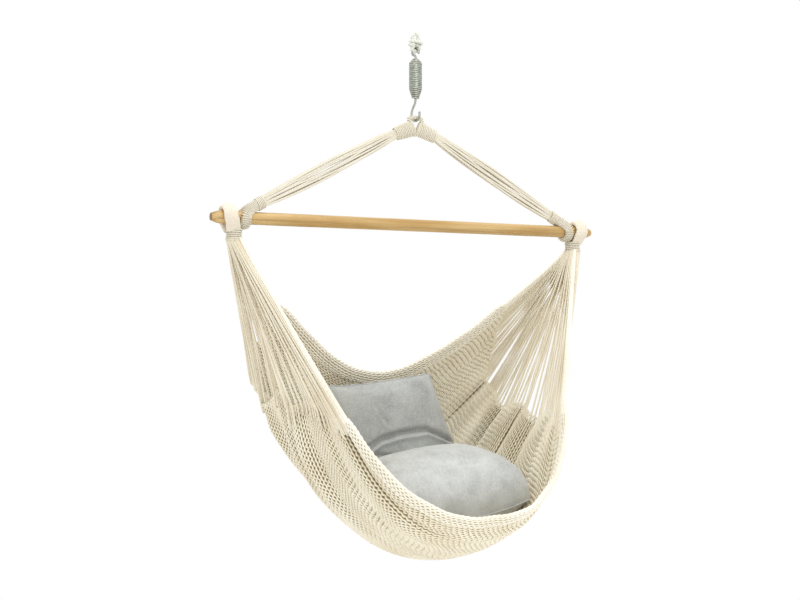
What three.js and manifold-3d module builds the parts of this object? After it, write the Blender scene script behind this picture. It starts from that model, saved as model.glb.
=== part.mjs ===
// Hammock chair: a cotton seat net on a wooden spreader bar, hung from one rope loop by a spring.
// Millimetres, +Z up, origin where the ceiling hook bears inside the rope loop. The chair faces -Y
// and its bar lies along X.

import * as THREE from 'three';
import { mergeVertices } from 'three/addons/utils/BufferGeometryUtils.js';
import Module from 'manifold-3d';

const wasm = await Module();
wasm.setup();

// Driving dimensions

const seatGap = 0.3; // between pieces that touch
const cordEndGap = 1.2; // where cords end on a slant against their neighbour
const quarterTurn = Math.PI / 2;
const halfTurn = Math.PI;
const fullTurn = 2 * Math.PI;

const ropeDiameter = 11;
const hangEyeWidth = 8;
const hangEyeHeight = 10;
const strandGap = 1; // between the rope's two strands inside the seizing
const seizingDiameter = 8;
const seizingTurns = 1.08;
const seizingPitch = 8.6;
const seizingTail = 15;

const hookWire = 6;
const hookTurn = THREE.MathUtils.degToRad(15); // the hooks' plane stands this far off the Y axis
const upperHookRadius = 12;
const upperHookTip = 5;
const lowerHookRadius = 15;
const lowerHookTip = 8;
const upperHookNeck = 14; // height of the bend between the arc and the shank
const lowerHookNeck = 37.5;
const headThickness = 1.5;

const springWire = 4;
const springDiameter = 35;
const springPitch = 4.6;
const springTurns = 22;
const springTopTurns = 2.5;
const springBottomTurns = 5;
const springTopEnd = 15.2; // outer diameters of the spring's two ends
const springBottomEnd = 19.2;
const headPlay = 1.3;

const barDrop = 488; // from the hang point to the bar's axis
const barLength = 1100;
const barDiameter = 31;
const barTipDiameter = 19;
const barTaper = 14;
const barStep = 7; // short shoulder between the taper and the full bar
const barStepDiameter = 29;

const eyeRope = 10;
const eyeWidth = 38;
const eyeDrop = 40;
const legSpread = 57; // half the distance between the outer ends of the two legs
const legDrop = 45;
const legStartDiameter = 17;
const legEndDiameter = 24;
const bridgeWidth = 62;
const bridgeDrop = 22; // from the eye's axis to the top of the bridge between the legs
const bridgeHeight = 42;
const bridgeDepth = 22;
const whipDiameter = 4;
const whipPitch = 4.8;
const whipTurns = 5;

const collarInset = 124; // from the bar's end to the collar
const collarRise = 37; // above the bar's axis
const collarCord = 4.5;
const collarPitch = 5.3;
const collarTurns = 3;
const strandCount = 5;
const strandDiameter = 8;
const strandSpread = 1.45; // how much the bundle opens half way, across and in depth
const strandFan = 2.1;

const slingInset = 92; // from the bar's end to the loop under the bar
const slingWidth = 24;
const slingThickness = 10;
const loopClearance = 0.6; // between a loop and the bar

const seatLoopInset = 43;
const seatLoopWidth = 26;
const seatLoopThickness = 17;
const seatLoopWrap = THREE.MathUtils.degToRad(30); // how far below the axis the loop follows the bar

const neckInset = 58;
const neckDrop = 28; // from the bar's axis to the top of the neck
const neckHeight = 26;
const neckWidth = 36;
const neckDepth = 50;
const neckCord = 5.6;
const neckPitch = 6.4;
const neckTurns = 3;

const netCordDiameter = 6;
const netCordColumn = 9;
const netCordSpread = 44;

const netReach = 400; // unit of the sections' depths
const netSetBack = 15; // how far the seat hangs behind the bar
const netDrop = 845; // from the bar's axis to the lowest part of the net
const netHalfWidth = 350;
const netFrontHalfWidth = 302;
const netThickness = 8;
const pleatDepth = 30; // of the deepest pleat, at the gathered ends
const pleatSwell = 14; // how far the net bulges towards the sitter between its pleats
const netSteps = 24; // across, from end to end
const frontRollWidth = 22;
const backRollWidth = 30;
const rollThickness = 16;

const seatCushionWidth = 390;
const seatCushionDepth = 345;
const seatCushionCrown = 132;
const seatCushionBelly = 128;
const seatCushionDish = 20;
const seatCushionTilt = THREE.MathUtils.degToRad(3);
const seatCushionX = 10;
const seatCushionInset = 367; // from the same place, before it is pushed back to the other cushion
const seatCushionRest = 148; // from the lowest part of the net to the cushion's middle
const backCushionWidth = 380;
const backCushionHeight = 290;
const backCushionHalf = 55;
const backCushionLean = THREE.MathUtils.degToRad(4);
const backCushionX = -30;
const backCushionInset = 157; // from the net's deepest part, before it is pushed back against the net
const backCushionDrop = 546;
const backCushionPress = 10; // how far the net pushes the cushion's back in

// Places worked out from the sizes above

const barZ = -barDrop;
const collarReach = barLength / 2 - collarInset;
const slingReach = barLength / 2 - slingInset;
const seatLoopReach = barLength / 2 - seatLoopInset;
const neckReach = barLength / 2 - neckInset;
const barRadius = barDiameter / 2;
const wireRadius = hookWire / 2;
const ropeRadius = ropeDiameter / 2;
const hookWay = new THREE.Vector3(Math.sin(hookTurn), -Math.cos(hookTurn), 0); // towards the tips
const hookSide = new THREE.Vector3(Math.cos(hookTurn), Math.sin(hookTurn), 0);
const up = new THREE.Vector3(0, 0, 1);
const strandX = (ropeDiameter + strandGap) / 2;
const seizingHeight = seizingTurns * seizingPitch + seizingDiameter;
const seizingTop = -hangEyeHeight - 1.5 * strandGap;
const seizingBottom = seizingTop - seizingHeight;
const upperHookTop = seizingBottom - seatGap; // the top of the wire in the rope's lower bight
const upperArcZ = upperHookTop - wireRadius - upperHookRadius;
const springTop = upperArcZ - upperHookNeck - seatGap;
const springLength = springTurns * springPitch;
const springBottom = springTop - springLength;
const lowerArcZ = springBottom - lowerHookNeck - lowerHookRadius / 2;
const lowerSaddle = lowerArcZ - lowerHookRadius + wireRadius;
const eyeZ = lowerSaddle + seatGap + eyeRope / 2; // axis on which the eye rocks on the hook
const legEnd = new THREE.Vector3(legSpread, 0, eyeZ - legDrop);
const collar = new THREE.Vector3(collarReach, 0, barZ + collarRise);
const neckTop = barZ - neckDrop;
const neckBottom = neckTop - neckHeight;

const cream = '#ded8c6';
const ropeWhite = '#e4e1d6';
const steelGrey = '#8d9290';
const honeyWood = '#b98a4b';
const linenGrey = '#a9a9a7';

const group = new THREE.Group();

function add(name, geometry, color, roughness, metalness) {
  const mesh = new THREE.Mesh(geometry, new THREE.MeshStandardMaterial({ color, roughness, metalness }));
  mesh.name = name;
  group.add(mesh);
  return mesh;
}

function addCotton(name, geometry) {
  return add(name, geometry, cream, 0.9, 0);
}

// Shared shapes

// Rings of points joined into one body: open ends are closed by caps, a closed loop has none.
function loft(rings, closed = false) {
  const sides = rings[0].length;
  const positions = rings.flat().flatMap((p) => [p.x, p.y, p.z]);
  const index = [];
  const spans = closed ? rings.length : rings.length - 1;
  for (let k = 0; k < spans; k++) {
    const here = k * sides;
    const next = ((k + 1) % rings.length) * sides;
    for (let i = 0; i < sides; i++) {
      const j = (i + 1) % sides;
      index.push(here + i, here + j, next + j, here + i, next + j, next + i);
    }
  }
  if (!closed) {
    const last = (rings.length - 1) * sides;
    for (let i = 1; i < sides - 1; i++) {
      index.push(0, i + 1, i, last, last + i, last + i + 1);
    }
  }
  const geometry = new THREE.BufferGeometry();
  geometry.setAttribute('position', new THREE.Float32BufferAttribute(positions, 3));
  geometry.setIndex(index);
  geometry.computeVertexNormals();
  return geometry;
}

// One size for all points, or a list with a size for each.
function sizeAt(size, k) {
  return Array.isArray(size) ? size[k] : size;
}

// An oval section swept through points: normals point across its thin side. endWays turn the two
// end faces square to the ways given.
function sweep(points, normals, halfThin, halfWide, sides, closed = false, endWays = null) {
  const count = points.length;
  const rings = points.map((point, k) => {
    const before = points[closed ? (k + count - 1) % count : Math.max(k - 1, 0)];
    const after = points[closed ? (k + 1) % count : Math.min(k + 1, count - 1)];
    const along = after.clone().sub(before).normalize();
    if (endWays && k === 0) along.copy(endWays[0]);
    if (endWays && k === count - 1) along.copy(endWays[1]);
    const thin = normals[k].clone().addScaledVector(along, -normals[k].dot(along)).normalize();
    const wide = along.clone().cross(thin);
    const ring = [];
    for (let i = 0; i < sides; i++) {
      const turn = (i / sides) * fullTurn;
      ring.push(
        point
          .clone()
          .addScaledVector(thin, sizeAt(halfThin, k) * Math.cos(turn))
          .addScaledVector(wide, sizeAt(halfWide, k) * Math.sin(turn)),
      );
    }
    return ring;
  });
  return loft(rings, closed);
}

function roundTube(points, radius, sides, normal) {
  return sweep(points, points.map(() => normal), radius, radius, sides);
}

function regularShape(radius, sides) {
  const corners = [];
  for (let i = 0; i < sides; i++) {
    const turn = (i / sides) * fullTurn;
    corners.push(new THREE.Vector2(radius * Math.cos(turn), radius * Math.sin(turn)));
  }
  return new THREE.Shape(corners);
}

function tube(curve, radius, sides, steps) {
  const options = { steps, bevelEnabled: false, extrudePath: curve };
  return new THREE.ExtrudeGeometry(regularShape(radius, sides), options);
}

function mirrored(geometry, side) {
  if (side > 0) return geometry;
  const turned = geometry.clone().scale(side, 1, 1);
  const index = turned.index ?? new THREE.Uint32BufferAttribute(
    Array.from({ length: turned.attributes.position.count }, (_, i) => i), 1);
  const flipped = Array.from(index.array);
  for (let i = 0; i < flipped.length; i += 3) {
    [flipped[i], flipped[i + 1]] = [flipped[i + 1], flipped[i]];
  }
  turned.setIndex(flipped);
  turned.computeVertexNormals();
  return turned;
}

function solid(geometry) {
  const plain = geometry.clone();
  for (const name of Object.keys(plain.attributes)) {
    if (name !== 'position') plain.deleteAttribute(name);
  }
  const merged = mergeVertices(plain, weld);
  const vertProperties = new Float32Array(merged.attributes.position.array);
  const triVerts = new Uint32Array(merged.index.array);
  return new wasm.Manifold(new wasm.Mesh({ numProp: 3, vertProperties, triVerts }));
}

function geometryOf(body) {
  const mesh = body.getMesh();
  const geometry = new THREE.BufferGeometry();
  geometry.setAttribute('position', new THREE.Float32BufferAttribute(Array.from(mesh.vertProperties), 3));
  geometry.setIndex(Array.from(mesh.triVerts));
  geometry.computeVertexNormals();
  return geometry;
}

function joined(...geometries) {
  return geometryOf(geometries.map(solid).reduce((all, next) => all.add(next)));
}

// Centre line of a winding: turns round an oval, going along an axis, with straight ends.
function winding({ turns, steps, pitch, radiusAt, frame, endLength }) {
  const points = [];
  const normals = [];
  const count = Math.round(turns * steps);
  for (let k = 0; k <= count; k++) {
    const turn = (k / steps) * fullTurn;
    const out = radiusAt(k / steps);
    const across = frame.across.clone().multiplyScalar(Math.cos(turn) * out.x);
    const deep = frame.deep.clone().multiplyScalar(Math.sin(turn) * out.y);
    points.push(
      frame.origin
        .clone()
        .add(across)
        .add(deep)
        .addScaledVector(frame.along, (k / steps) * pitch),
    );
    normals.push(across.add(deep).normalize());
  }
  const first = points[0].clone().sub(points[1]).normalize();
  const last = points[count].clone().sub(points[count - 1]).normalize();
  points.unshift(points[0].clone().addScaledVector(first, endLength));
  points.push(points[points.length - 1].clone().addScaledVector(last, endLength));
  normals.unshift(normals[0]);
  normals.push(normals[normals.length - 1]);
  return { points, normals };
}

// Least clear distance between turns of a winding: points a turn or more apart, less one cord.
function leastGap(points, steps, diameter) {
  let least = Infinity;
  for (let i = 0; i < points.length; i++) {
    for (let j = i + Math.round(steps * nearTurnShare); j < points.length; j++) {
      least = Math.min(least, points[i].distanceTo(points[j]));
    }
  }
  return least - diameter;
}
const nearTurnShare = 0.75;
const weld = 1e-4;

function reportGap(name, points, steps, diameter) {
  console.log(`${name}: least gap between turns ${leastGap(points, steps, diameter).toFixed(2)} mm`);
}

// Hanging rope: a closed loop drawn together by its seizing, with an eye above and a bight below

function hangingRope() {
  const sides = 8;
  const eyeX = hangEyeWidth / 2 + ropeRadius;
  const eyeTop = ropeRadius;
  const bightX = wireRadius / Math.cos(hookTurn) + ropeRadius * Math.tan(hookTurn) + seatGap + ropeRadius;
  const wireZ = upperHookTop - wireRadius;
  const bightBottom = wireZ - wireRadius - seatGap - ropeRadius;
  const half = [
    [0, eyeTop],
    [eyeX * 0.62, eyeTop - eyeX * 0.22],
    [eyeX, -hangEyeHeight * 0.45],
    [(eyeX + strandX) / 2, -hangEyeHeight * 0.9],
    [strandX, seizingTop - seizingHeight * 0.2],
    [strandX, seizingTop - seizingHeight * 0.8],
    [(bightX + strandX) / 2, seizingBottom + strandGap],
    [bightX, wireZ],
    [bightX * 0.72, (wireZ + bightBottom * 2) / 3],
  ];
  const points = half.map(([x, z]) => new THREE.Vector3(x, 0, z));
  points.push(new THREE.Vector3(0, 0, bightBottom));
  for (let i = half.length - 1; i > 0; i--) {
    points.push(new THREE.Vector3(-half[i][0], 0, half[i][1]));
  }
  const line = new THREE.CatmullRomCurve3(points, true, 'centripetal');
  const steps = 40;
  const spaced = line.getSpacedPoints(steps).slice(0, steps);
  const across = new THREE.Vector3(0, 1, 0);
  return sweep(spaced, spaced.map(() => across), ropeRadius, ropeRadius, sides, true);
}

function ropeSeizing() {
  const steps = 12;
  const radius = seizingDiameter / 2;
  const out = ropeRadius + strandGap + 2 * seatGap;
  const flat = Math.cos(halfTurn / steps);
  const coil = winding({
    turns: seizingTurns,
    steps,
    pitch: seizingPitch,
    radiusAt: () => new THREE.Vector2((strandX + out) / flat + radius, out / flat + radius),
    frame: {
      origin: new THREE.Vector3(0, 0, seizingTop - radius),
      across: new THREE.Vector3(-1, 0, 0),
      deep: new THREE.Vector3(0, -1, 0),
      along: new THREE.Vector3(0, 0, -1),
    },
    endLength: seizingDiameter,
  });
  reportGap('rope_seizing', coil.points, steps, seizingDiameter);
  const last = coil.points[coil.points.length - 1];
  last.z -= seizingTail / 3;
  const tail = last.clone();
  tail.z -= seizingTail;
  coil.points.push(tail);
  coil.normals.push(coil.normals[coil.normals.length - 1]);
  return sweep(coil.points, coil.normals, radius, radius, 6);
}

// Hooks and spring

function inHookPlane(out, z) {
  return hookWay.clone().multiplyScalar(out).setZ(z);
}

// The wire of a hook: shank on the axis, a bend to the back, the arc, and the tip at the front.
// way is 1 for a hook that opens downwards and -1 for one that opens upwards.
function hookLine({ shankEnd, neck, radius, arcZ, tip, way }) {
  const bend = new THREE.CubicBezierCurve3(
    inHookPlane(0, neck),
    inHookPlane(0, THREE.MathUtils.lerp(neck, arcZ, 0.5)),
    inHookPlane(-radius, THREE.MathUtils.lerp(neck, arcZ, 0.45)),
    inHookPlane(-radius, arcZ),
  );
  const points = [inHookPlane(0, shankEnd), ...bend.getPoints(6)];
  const arcSteps = 9;
  for (let i = 1; i <= arcSteps; i++) {
    const turn = halfTurn * (1 - i / arcSteps);
    points.push(inHookPlane(radius * Math.cos(turn), arcZ + way * radius * Math.sin(turn)));
  }
  points.push(inHookPlane(radius, arcZ - way * tip));
  return points;
}

function springRadiusAt(turn) {
  const body = (springDiameter - springWire) / 2;
  const top = (springTopEnd - springWire) / 2;
  const bottom = (springBottomEnd - springWire) / 2;
  if (turn < springTopTurns) return THREE.MathUtils.lerp(top, body, turn / springTopTurns);
  const left = springTurns - turn;
  if (left < springBottomTurns) return THREE.MathUtils.lerp(bottom, body, left / springBottomTurns);
  return body;
}

// A hook's head fills the cone of the spring's end, a little clear of its turns.
function hookHead(startTurn, endTurn) {
  const profile = [new THREE.Vector2(0, springZ(startTurn))];
  const slope = (springRadiusAt(endTurn) - springRadiusAt(startTurn)) / ((endTurn - startTurn) * springPitch);
  const offset = (springWire / 2 + headPlay) * Math.hypot(1, slope);
  profile.push(new THREE.Vector2(springRadiusAt(startTurn) - offset, springZ(startTurn)));
  profile.push(new THREE.Vector2(springRadiusAt(endTurn) - offset, springZ(endTurn)));
  const back = Math.sign(endTurn - startTurn) * headThickness;
  profile.push(new THREE.Vector2(springRadiusAt(endTurn) - offset, springZ(endTurn) - back));
  profile.push(new THREE.Vector2(0, springZ(endTurn) - back));
  if (endTurn > startTurn) profile.reverse();
  return new THREE.LatheGeometry(profile, 20).rotateX(quarterTurn);
}

function springZ(turn) {
  return springTop - springWire / 2 - turn * springPitch;
}

// Turns of the coil, counted from its nearer end, that the hooks' heads and shanks reach.
const headTurns = {
  upperShank: 1.6, upperNarrow: 1.1, upperBroad: 2.1,
  lowerShank: 2.5, lowerNarrow: 1.6, lowerBroad: 3.4,
};

function upperHook() {
  const line = hookLine({
    shankEnd: springZ(headTurns.upperShank),
    neck: springTop + wireRadius,
    radius: upperHookRadius,
    arcZ: upperArcZ,
    tip: upperHookTip,
    way: 1,
  });
  const head = hookHead(headTurns.upperNarrow, headTurns.upperBroad);
  return joined(roundTube(line, wireRadius, 10, hookSide), head);
}

function lowerHook() {
  const line = hookLine({
    shankEnd: springZ(springTurns - headTurns.lowerShank),
    neck: springBottom - wireRadius,
    radius: lowerHookRadius,
    arcZ: lowerArcZ,
    tip: lowerHookTip,
    way: -1,
  });
  const head = hookHead(springTurns - headTurns.lowerNarrow, springTurns - headTurns.lowerBroad);
  return joined(roundTube(line, wireRadius, 10, hookSide), head);
}

function springCoil() {
  const steps = 8;
  const coil = winding({
    turns: springTurns,
    steps,
    pitch: springPitch,
    radiusAt: (turn) => new THREE.Vector2(springRadiusAt(turn), springRadiusAt(turn)),
    frame: {
      origin: new THREE.Vector3(0, 0, springTop - springWire / 2),
      across: new THREE.Vector3(1, 0, 0),
      deep: new THREE.Vector3(0, 1, 0),
      along: new THREE.Vector3(0, 0, -1),
    },
    endLength: 0,
  });
  const points = coil.points.slice(1, -1);
  reportGap('spring_coil', points, steps, springWire);
  return sweep(points, coil.normals.slice(1, -1), springWire / 2, springWire / 2, 5);
}

// Apex: the cords pass over the hook as an eye, whipped down both legs and tied across below it

// Outline of the ties between the legs: across from the middle, down from the top.
const bridgeShares = [
  [-1, 0.62], [-0.75, 0], [-0.4, -0.12], [0, 0.36], [0.4, -0.12], [0.75, 0], [1, 0.62],
  [0.7, 0.87], [0, 1], [-0.7, 0.87],
];

function apexEye() {
  const corner = eyeWidth / 2;
  const eyePoints = [
    [0, 0],
    [corner * 0.72, -eyeRope * 0.16],
    [corner, -eyeRope * 0.5],
    [corner * 0.55, -eyeDrop * 0.62],
    [0, -eyeDrop - eyeRope / 2],
    [-corner * 0.55, -eyeDrop * 0.62],
    [-corner, -eyeRope * 0.5],
    [-corner * 0.72, -eyeRope * 0.16],
  ].map(([x, z]) => new THREE.Vector3(x, 0, eyeZ + z));
  const line = new THREE.CatmullRomCurve3(eyePoints, true, 'centripetal');
  const steps = 24;
  const spaced = line.getSpacedPoints(steps).slice(0, steps);
  const deep = new THREE.Vector3(0, 1, 0);
  const ring = sweep(spaced, spaced.map(() => deep), eyeRope / 2, eyeRope / 2, 8, true);
  const corners = bridgeShares.map(([across, down]) =>
    new THREE.Vector2((across * bridgeWidth) / 2, -down * bridgeHeight));
  const bridge = new THREE.ExtrudeGeometry(new THREE.Shape(corners), {
    depth: bridgeDepth / 2,
    bevelThickness: bridgeDepth / 4,
    bevelSize: bridgeDepth / 4,
    bevelOffset: -bridgeDepth / 4,
    bevelSegments: 2,
  });
  bridge.rotateX(quarterTurn);
  bridge.translate(0, bridgeDepth / 4, eyeZ - bridgeDrop);
  const parts = [ring, bridge];
  for (const side of [-1, 1]) {
    parts.push(mirrored(apexLeg(), side));
  }
  return joined(...parts);
}

const legStart = new THREE.Vector3(eyeWidth / 2, 0, eyeZ - eyeRope);
const legWay = legEnd.clone().sub(legStart).normalize();
const legAcross = new THREE.Vector3(0, 1, 0);
const legUp = legWay.clone().cross(legAcross);

function legRadiusAt(distance) {
  const share = THREE.MathUtils.clamp(distance / legStart.distanceTo(legEnd), 0, 1);
  return THREE.MathUtils.lerp(legStartDiameter, legEndDiameter, share) / 2;
}

function apexLeg() {
  const length = legStart.distanceTo(legEnd);
  const steps = 3;
  const rings = [];
  for (let k = 0; k <= steps; k++) {
    const distance = (k / steps) * length;
    const centre = legStart.clone().addScaledVector(legWay, distance);
    rings.push(ringRound(centre, legAcross, legUp, legRadiusAt(distance), 10));
  }
  return loft(rings);
}

function ringRound(centre, across, upWay, radius, sides) {
  const ring = [];
  for (let i = 0; i < sides; i++) {
    const turn = (i / sides) * fullTurn;
    ring.push(
      centre
        .clone()
        .addScaledVector(across, radius * Math.cos(turn))
        .addScaledVector(upWay, radius * Math.sin(turn)),
    );
  }
  return ring;
}

function apexWhipping(side) {
  const steps = 10;
  const radius = whipDiameter / 2;
  const length = legStart.distanceTo(legEnd);
  const start = length - whipTurns * whipPitch - radius;
  const coil = winding({
    turns: whipTurns,
    steps,
    pitch: whipPitch,
    radiusAt: (turn) => {
      const out = legRadiusAt(start + turn * whipPitch) + radius + seatGap;
      return new THREE.Vector2(out, out);
    },
    frame: {
      origin: legStart.clone().addScaledVector(legWay, start),
      across: legAcross,
      deep: legUp,
      along: legWay,
    },
    endLength: 0,
  });
  const points = coil.points.slice(1, -1);
  if (side > 0) reportGap('apex_whipping', points, steps, whipDiameter);
  return mirrored(sweep(points, coil.normals.slice(1, -1), radius, radius, 5), side);
}

// Suspension: bundles of cords from the eye to the collars, and the loops that carry the bar

const slingWay = collar.clone().sub(legEnd).normalize();
const slingUp = slingWay.clone().cross(legAcross);

function suspensionCord(index, side) {
  const radius = strandDiameter / 2;
  const turn = (index / strandCount) * fullTurn + quarterTurn;
  const packed = (strandDiameter + 2 * seatGap) / (2 * Math.sin(halfTurn / strandCount));
  const start = legEnd.clone().addScaledVector(legWay, cordEndGap);
  const points = [];
  const steps = 10;
  for (let k = 0; k <= steps; k++) {
    const share = k / steps;
    const open = Math.sin(share * halfTurn);
    const point = start.clone().lerp(collar, share);
    const upWay = k === 0 ? legUp : slingUp;
    point.addScaledVector(legAcross, packed * Math.cos(turn) * (1 + (strandSpread - 1) * open));
    point.addScaledVector(upWay, packed * Math.sin(turn) * (1 + (strandFan - 1) * open));
    points.push(point);
  }
  const curve = new THREE.CatmullRomCurve3(points);
  return mirrored(tube(curve, radius, 6, steps), side);
}

function collarWinding(side) {
  const steps = 12;
  const radius = collarCord / 2;
  const wide = slingWidth / 2;
  const inner = Math.hypot(wide, slingThickness / 2 + seatGap) + seatGap;
  const out = inner / Math.cos(halfTurn / steps) + radius;
  const coil = winding({
    turns: collarTurns,
    steps,
    pitch: collarPitch,
    radiusAt: () => new THREE.Vector2(out, out),
    frame: {
      origin: collar.clone().addScaledVector(slingWay, -(collarTurns * collarPitch) / 2),
      across: legAcross,
      deep: slingUp,
      along: slingWay,
    },
    endLength: 0,
  });
  const points = coil.points.slice(1, -1);
  if (side > 0) reportGap('collar', points, steps, collarCord);
  return mirrored(sweep(points, coil.normals.slice(1, -1), radius, radius, 5), side);
}

// A strap from the collar down in front of the bar, under it, and up behind it to the collar.
function slingLoop(side) {
  const half = slingThickness / 2;
  const bend = barRadius + loopClearance + half;
  const top = collar.clone().addScaledVector(slingWay, 2 * seatGap);
  const front = [];
  const low = new THREE.Vector3(slingReach, -bend, barZ);
  const leg = new THREE.CubicBezierCurve3(
    new THREE.Vector3(top.x, -(half + seatGap), top.z),
    new THREE.Vector3(top.x, -(half + seatGap), top.z).addScaledVector(slingWay, collarCord * 5),
    new THREE.Vector3(slingReach, -bend, barZ + barRadius),
    low,
  );
  const legSteps = 7;
  const acrossLeg = new THREE.Vector3(0, -1, 0);
  for (let k = 0; k < legSteps; k++) {
    front.push({ point: leg.getPoint(k / legSteps), normal: acrossLeg });
  }
  const bottom = [];
  const arcSteps = 10;
  for (let k = 0; k <= arcSteps; k++) {
    const turn = halfTurn + (k / arcSteps) * halfTurn;
    const normal = new THREE.Vector3(0, Math.cos(turn), Math.sin(turn));
    bottom.push({ point: new THREE.Vector3(slingReach, bend * normal.y, barZ + bend * normal.z), normal });
  }
  const back = front.map(({ point, normal }) => ({
    point: new THREE.Vector3(point.x, -point.y, point.z),
    normal: normal.clone().negate(),
  }));
  const all = [...front, ...bottom, ...back.reverse()];
  const points = all.map((a) => a.point);
  const normals = all.map((a) => a.normal);
  const ways = [slingWay, slingWay.clone().negate()];
  return mirrored(sweep(points, normals, half, slingWidth / 2, 8, false, ways), side);
}

// Spreader bar

function spreaderBar() {
  const end = barLength / 2;
  const half = [
    [barTipDiameter / 2, end],
    [barStepDiameter / 2, end - barTaper],
    [barStepDiameter / 2, end - barTaper - barStep],
    [barRadius, end - barTaper - barStep],
  ];
  return new THREE.LatheGeometry(barOutline(half), 24).rotateZ(-quarterTurn).translate(0, 0, barZ);
}

function barOutline(half) {
  const end = half[0][1];
  const right = half.map(([radius, x]) => new THREE.Vector2(radius, x)).reverse();
  const left = half.map(([radius, x]) => new THREE.Vector2(radius, -x));
  return [new THREE.Vector2(0, -end), ...left, ...right, new THREE.Vector2(0, end)];
}

// Seat loops and necks

function seatLoop(side) {
  const half = seatLoopThickness / 2;
  const bend = barRadius + loopClearance + half;
  const neckX = THREE.MathUtils.lerp(neckReach, seatLoopReach, 0.35);
  const arcSteps = 14;
  const points = [];
  const normals = [];
  const from = -seatLoopWrap;
  const legDown = neckDrop - seatGap - bend * Math.sin(seatLoopWrap);
  const legIn = legDown * Math.tan(seatLoopWrap);
  const low = (sign) =>
    new THREE.Vector3(neckX, sign * (bend * Math.cos(seatLoopWrap) - legIn), neckTop + seatGap);
  for (let k = 0; k <= arcSteps; k++) {
    const turn = from + (k / arcSteps) * (halfTurn + 2 * seatLoopWrap);
    const normal = new THREE.Vector3(0, -Math.cos(turn), Math.sin(turn));
    const lean = THREE.MathUtils.clamp((Math.sin(turn) + Math.sin(seatLoopWrap)) / Math.sin(seatLoopWrap), 0, 1);
    const x = THREE.MathUtils.lerp(THREE.MathUtils.lerp(neckX, seatLoopReach, 0.5), seatLoopReach, lean);
    points.push(new THREE.Vector3(x, bend * normal.y, barZ + bend * normal.z));
    normals.push(normal);
  }
  points.unshift(low(-1));
  points.push(low(1));
  normals.unshift(normals[0]);
  normals.push(normals[normals.length - 1]);
  const ways = [up, up.clone().negate()];
  return mirrored(sweep(points, normals, half, seatLoopWidth / 2, 10, false, ways), side);
}

function neckBinding(side) {
  const steps = 12;
  const radius = neckCord / 2;
  const sink = neckCord / 8;
  const core = new THREE.CylinderGeometry(1, 1, neckHeight, 16).rotateX(quarterTurn);
  core.scale(neckWidth / 2, neckDepth / 2, 1);
  core.translate(neckReach, 0, neckTop - neckHeight / 2);
  const run = neckTurns * neckPitch;
  const coil = winding({
    turns: neckTurns,
    steps,
    pitch: neckPitch,
    radiusAt: () => new THREE.Vector2(neckWidth / 2 + radius - sink, neckDepth / 2 + radius - sink),
    frame: {
      origin: new THREE.Vector3(neckReach, 0, neckTop - (neckHeight - run) / 2),
      across: new THREE.Vector3(1, 0, 0),
      deep: new THREE.Vector3(0, -1, 0),
      along: new THREE.Vector3(0, 0, -1),
    },
    endLength: 0,
  });
  const points = coil.points.slice(1, -1);
  if (side > 0) reportGap('neck_binding', points, steps, neckCord);
  const cord = sweep(points, coil.normals.slice(1, -1), radius, radius, 5);
  return mirrored(joined(core, cord), side);
}

// Seat net: sections across the seat, as shares of its reach and drop, from the back edge over the
// bottom to the front edge. The outer section is at the gathered end, the inner one half way.
const middleShares = [
  [0.52, 0.482], [0.6, 0.564], [0.63, 0.706], [0.538, 0.858], [0.3, 0.958],
  [0, 0.995], [-0.3, 0.994], [-0.575, 0.964], [-0.825, 0.905], [-0.936, 0.847],
];
const halfwayShares = [
  [0.434, 0.408], [0.538, 0.491], [0.57, 0.621], [0.5, 0.74], [0.37, 0.834],
  [0.125, 0.891], [-0.15, 0.899], [-0.45, 0.888], [-0.745, 0.858], [-0.881, 0.802],
];
const endShares = [
  [0.256, 0.249], [0.375, 0.325], [0.5, 0.456], [0.425, 0.521], [0.275, 0.559],
  [0.075, 0.568], [-0.15, 0.576], [-0.375, 0.58], [-0.52, 0.579], [-0.596, 0.571],
];
const halfwayShare = 0.514;

function sectionCurve(shares) {
  const place = ([reach, drop]) => new THREE.Vector3(0, netSetBack + reach * netReach, barZ - drop * netDrop);
  return new THREE.CatmullRomCurve3(shares.map(place));
}
const middleSection = sectionCurve(middleShares);
const halfwaySection = sectionCurve(halfwayShares);
const endSection = sectionCurve(endShares);

// An even curve through three values: at the middle, at the halfway share, and at the end.
function evenCurve(share, middle, halfway, end) {
  const square = halfwayShare ** 2;
  const fourth = halfwayShare ** 4;
  const a = (halfway - middle - (end - middle) * fourth) / (square - fourth);
  const b = end - middle - a;
  return middle + a * share ** 2 + b * share ** 4;
}

// A place on the net's middle surface: u from -1 at the left end to 1, v from the back edge to 1.
function netPoint(u, v) {
  const middle = middleSection.getPoint(v);
  const halfway = halfwaySection.getPoint(v);
  const end = endSection.getPoint(v);
  const width = THREE.MathUtils.lerp(netHalfWidth, netFrontHalfWidth, THREE.MathUtils.smoothstep(v, 0.6, 1));
  return new THREE.Vector3(
    u * width,
    evenCurve(u, middle.y, halfway.y, end.y),
    evenCurve(u, middle.z, halfway.z, end.z),
  );
}

function netNormal(u, v) {
  const step = 0.01;
  const alongU = netPoint(u + step, v).sub(netPoint(u - step, v));
  const alongV = netPoint(u, Math.min(v + step, 1)).sub(netPoint(u, Math.max(v - step, 0)));
  return alongV.cross(alongU).normalize(); // towards the sitter
}

// Where the pleats lie across the gathered ends, how deep each is, and half its width.
const pleatShares = [
  { place: 0.26, depth: 0.9, half: 0.03 },
  { place: 0.44, depth: 0.9, half: 0.032 },
  { place: 0.565, depth: 0.65, half: 0.022 },
  { place: 0.66, depth: 1, half: 0.03 },
];
// Rows of points across the net, closer together at the pleats.
const netRowShares = [
  0, 0.06, 0.12, 0.18, 0.22, 0.26, 0.3, 0.35, 0.4, 0.44, 0.48, 0.515, 0.54, 0.565, 0.59, 0.62,
  0.66, 0.7, 0.74, 0.79, 0.84, 0.88, 0.92, 0.96, 1,
];

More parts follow.
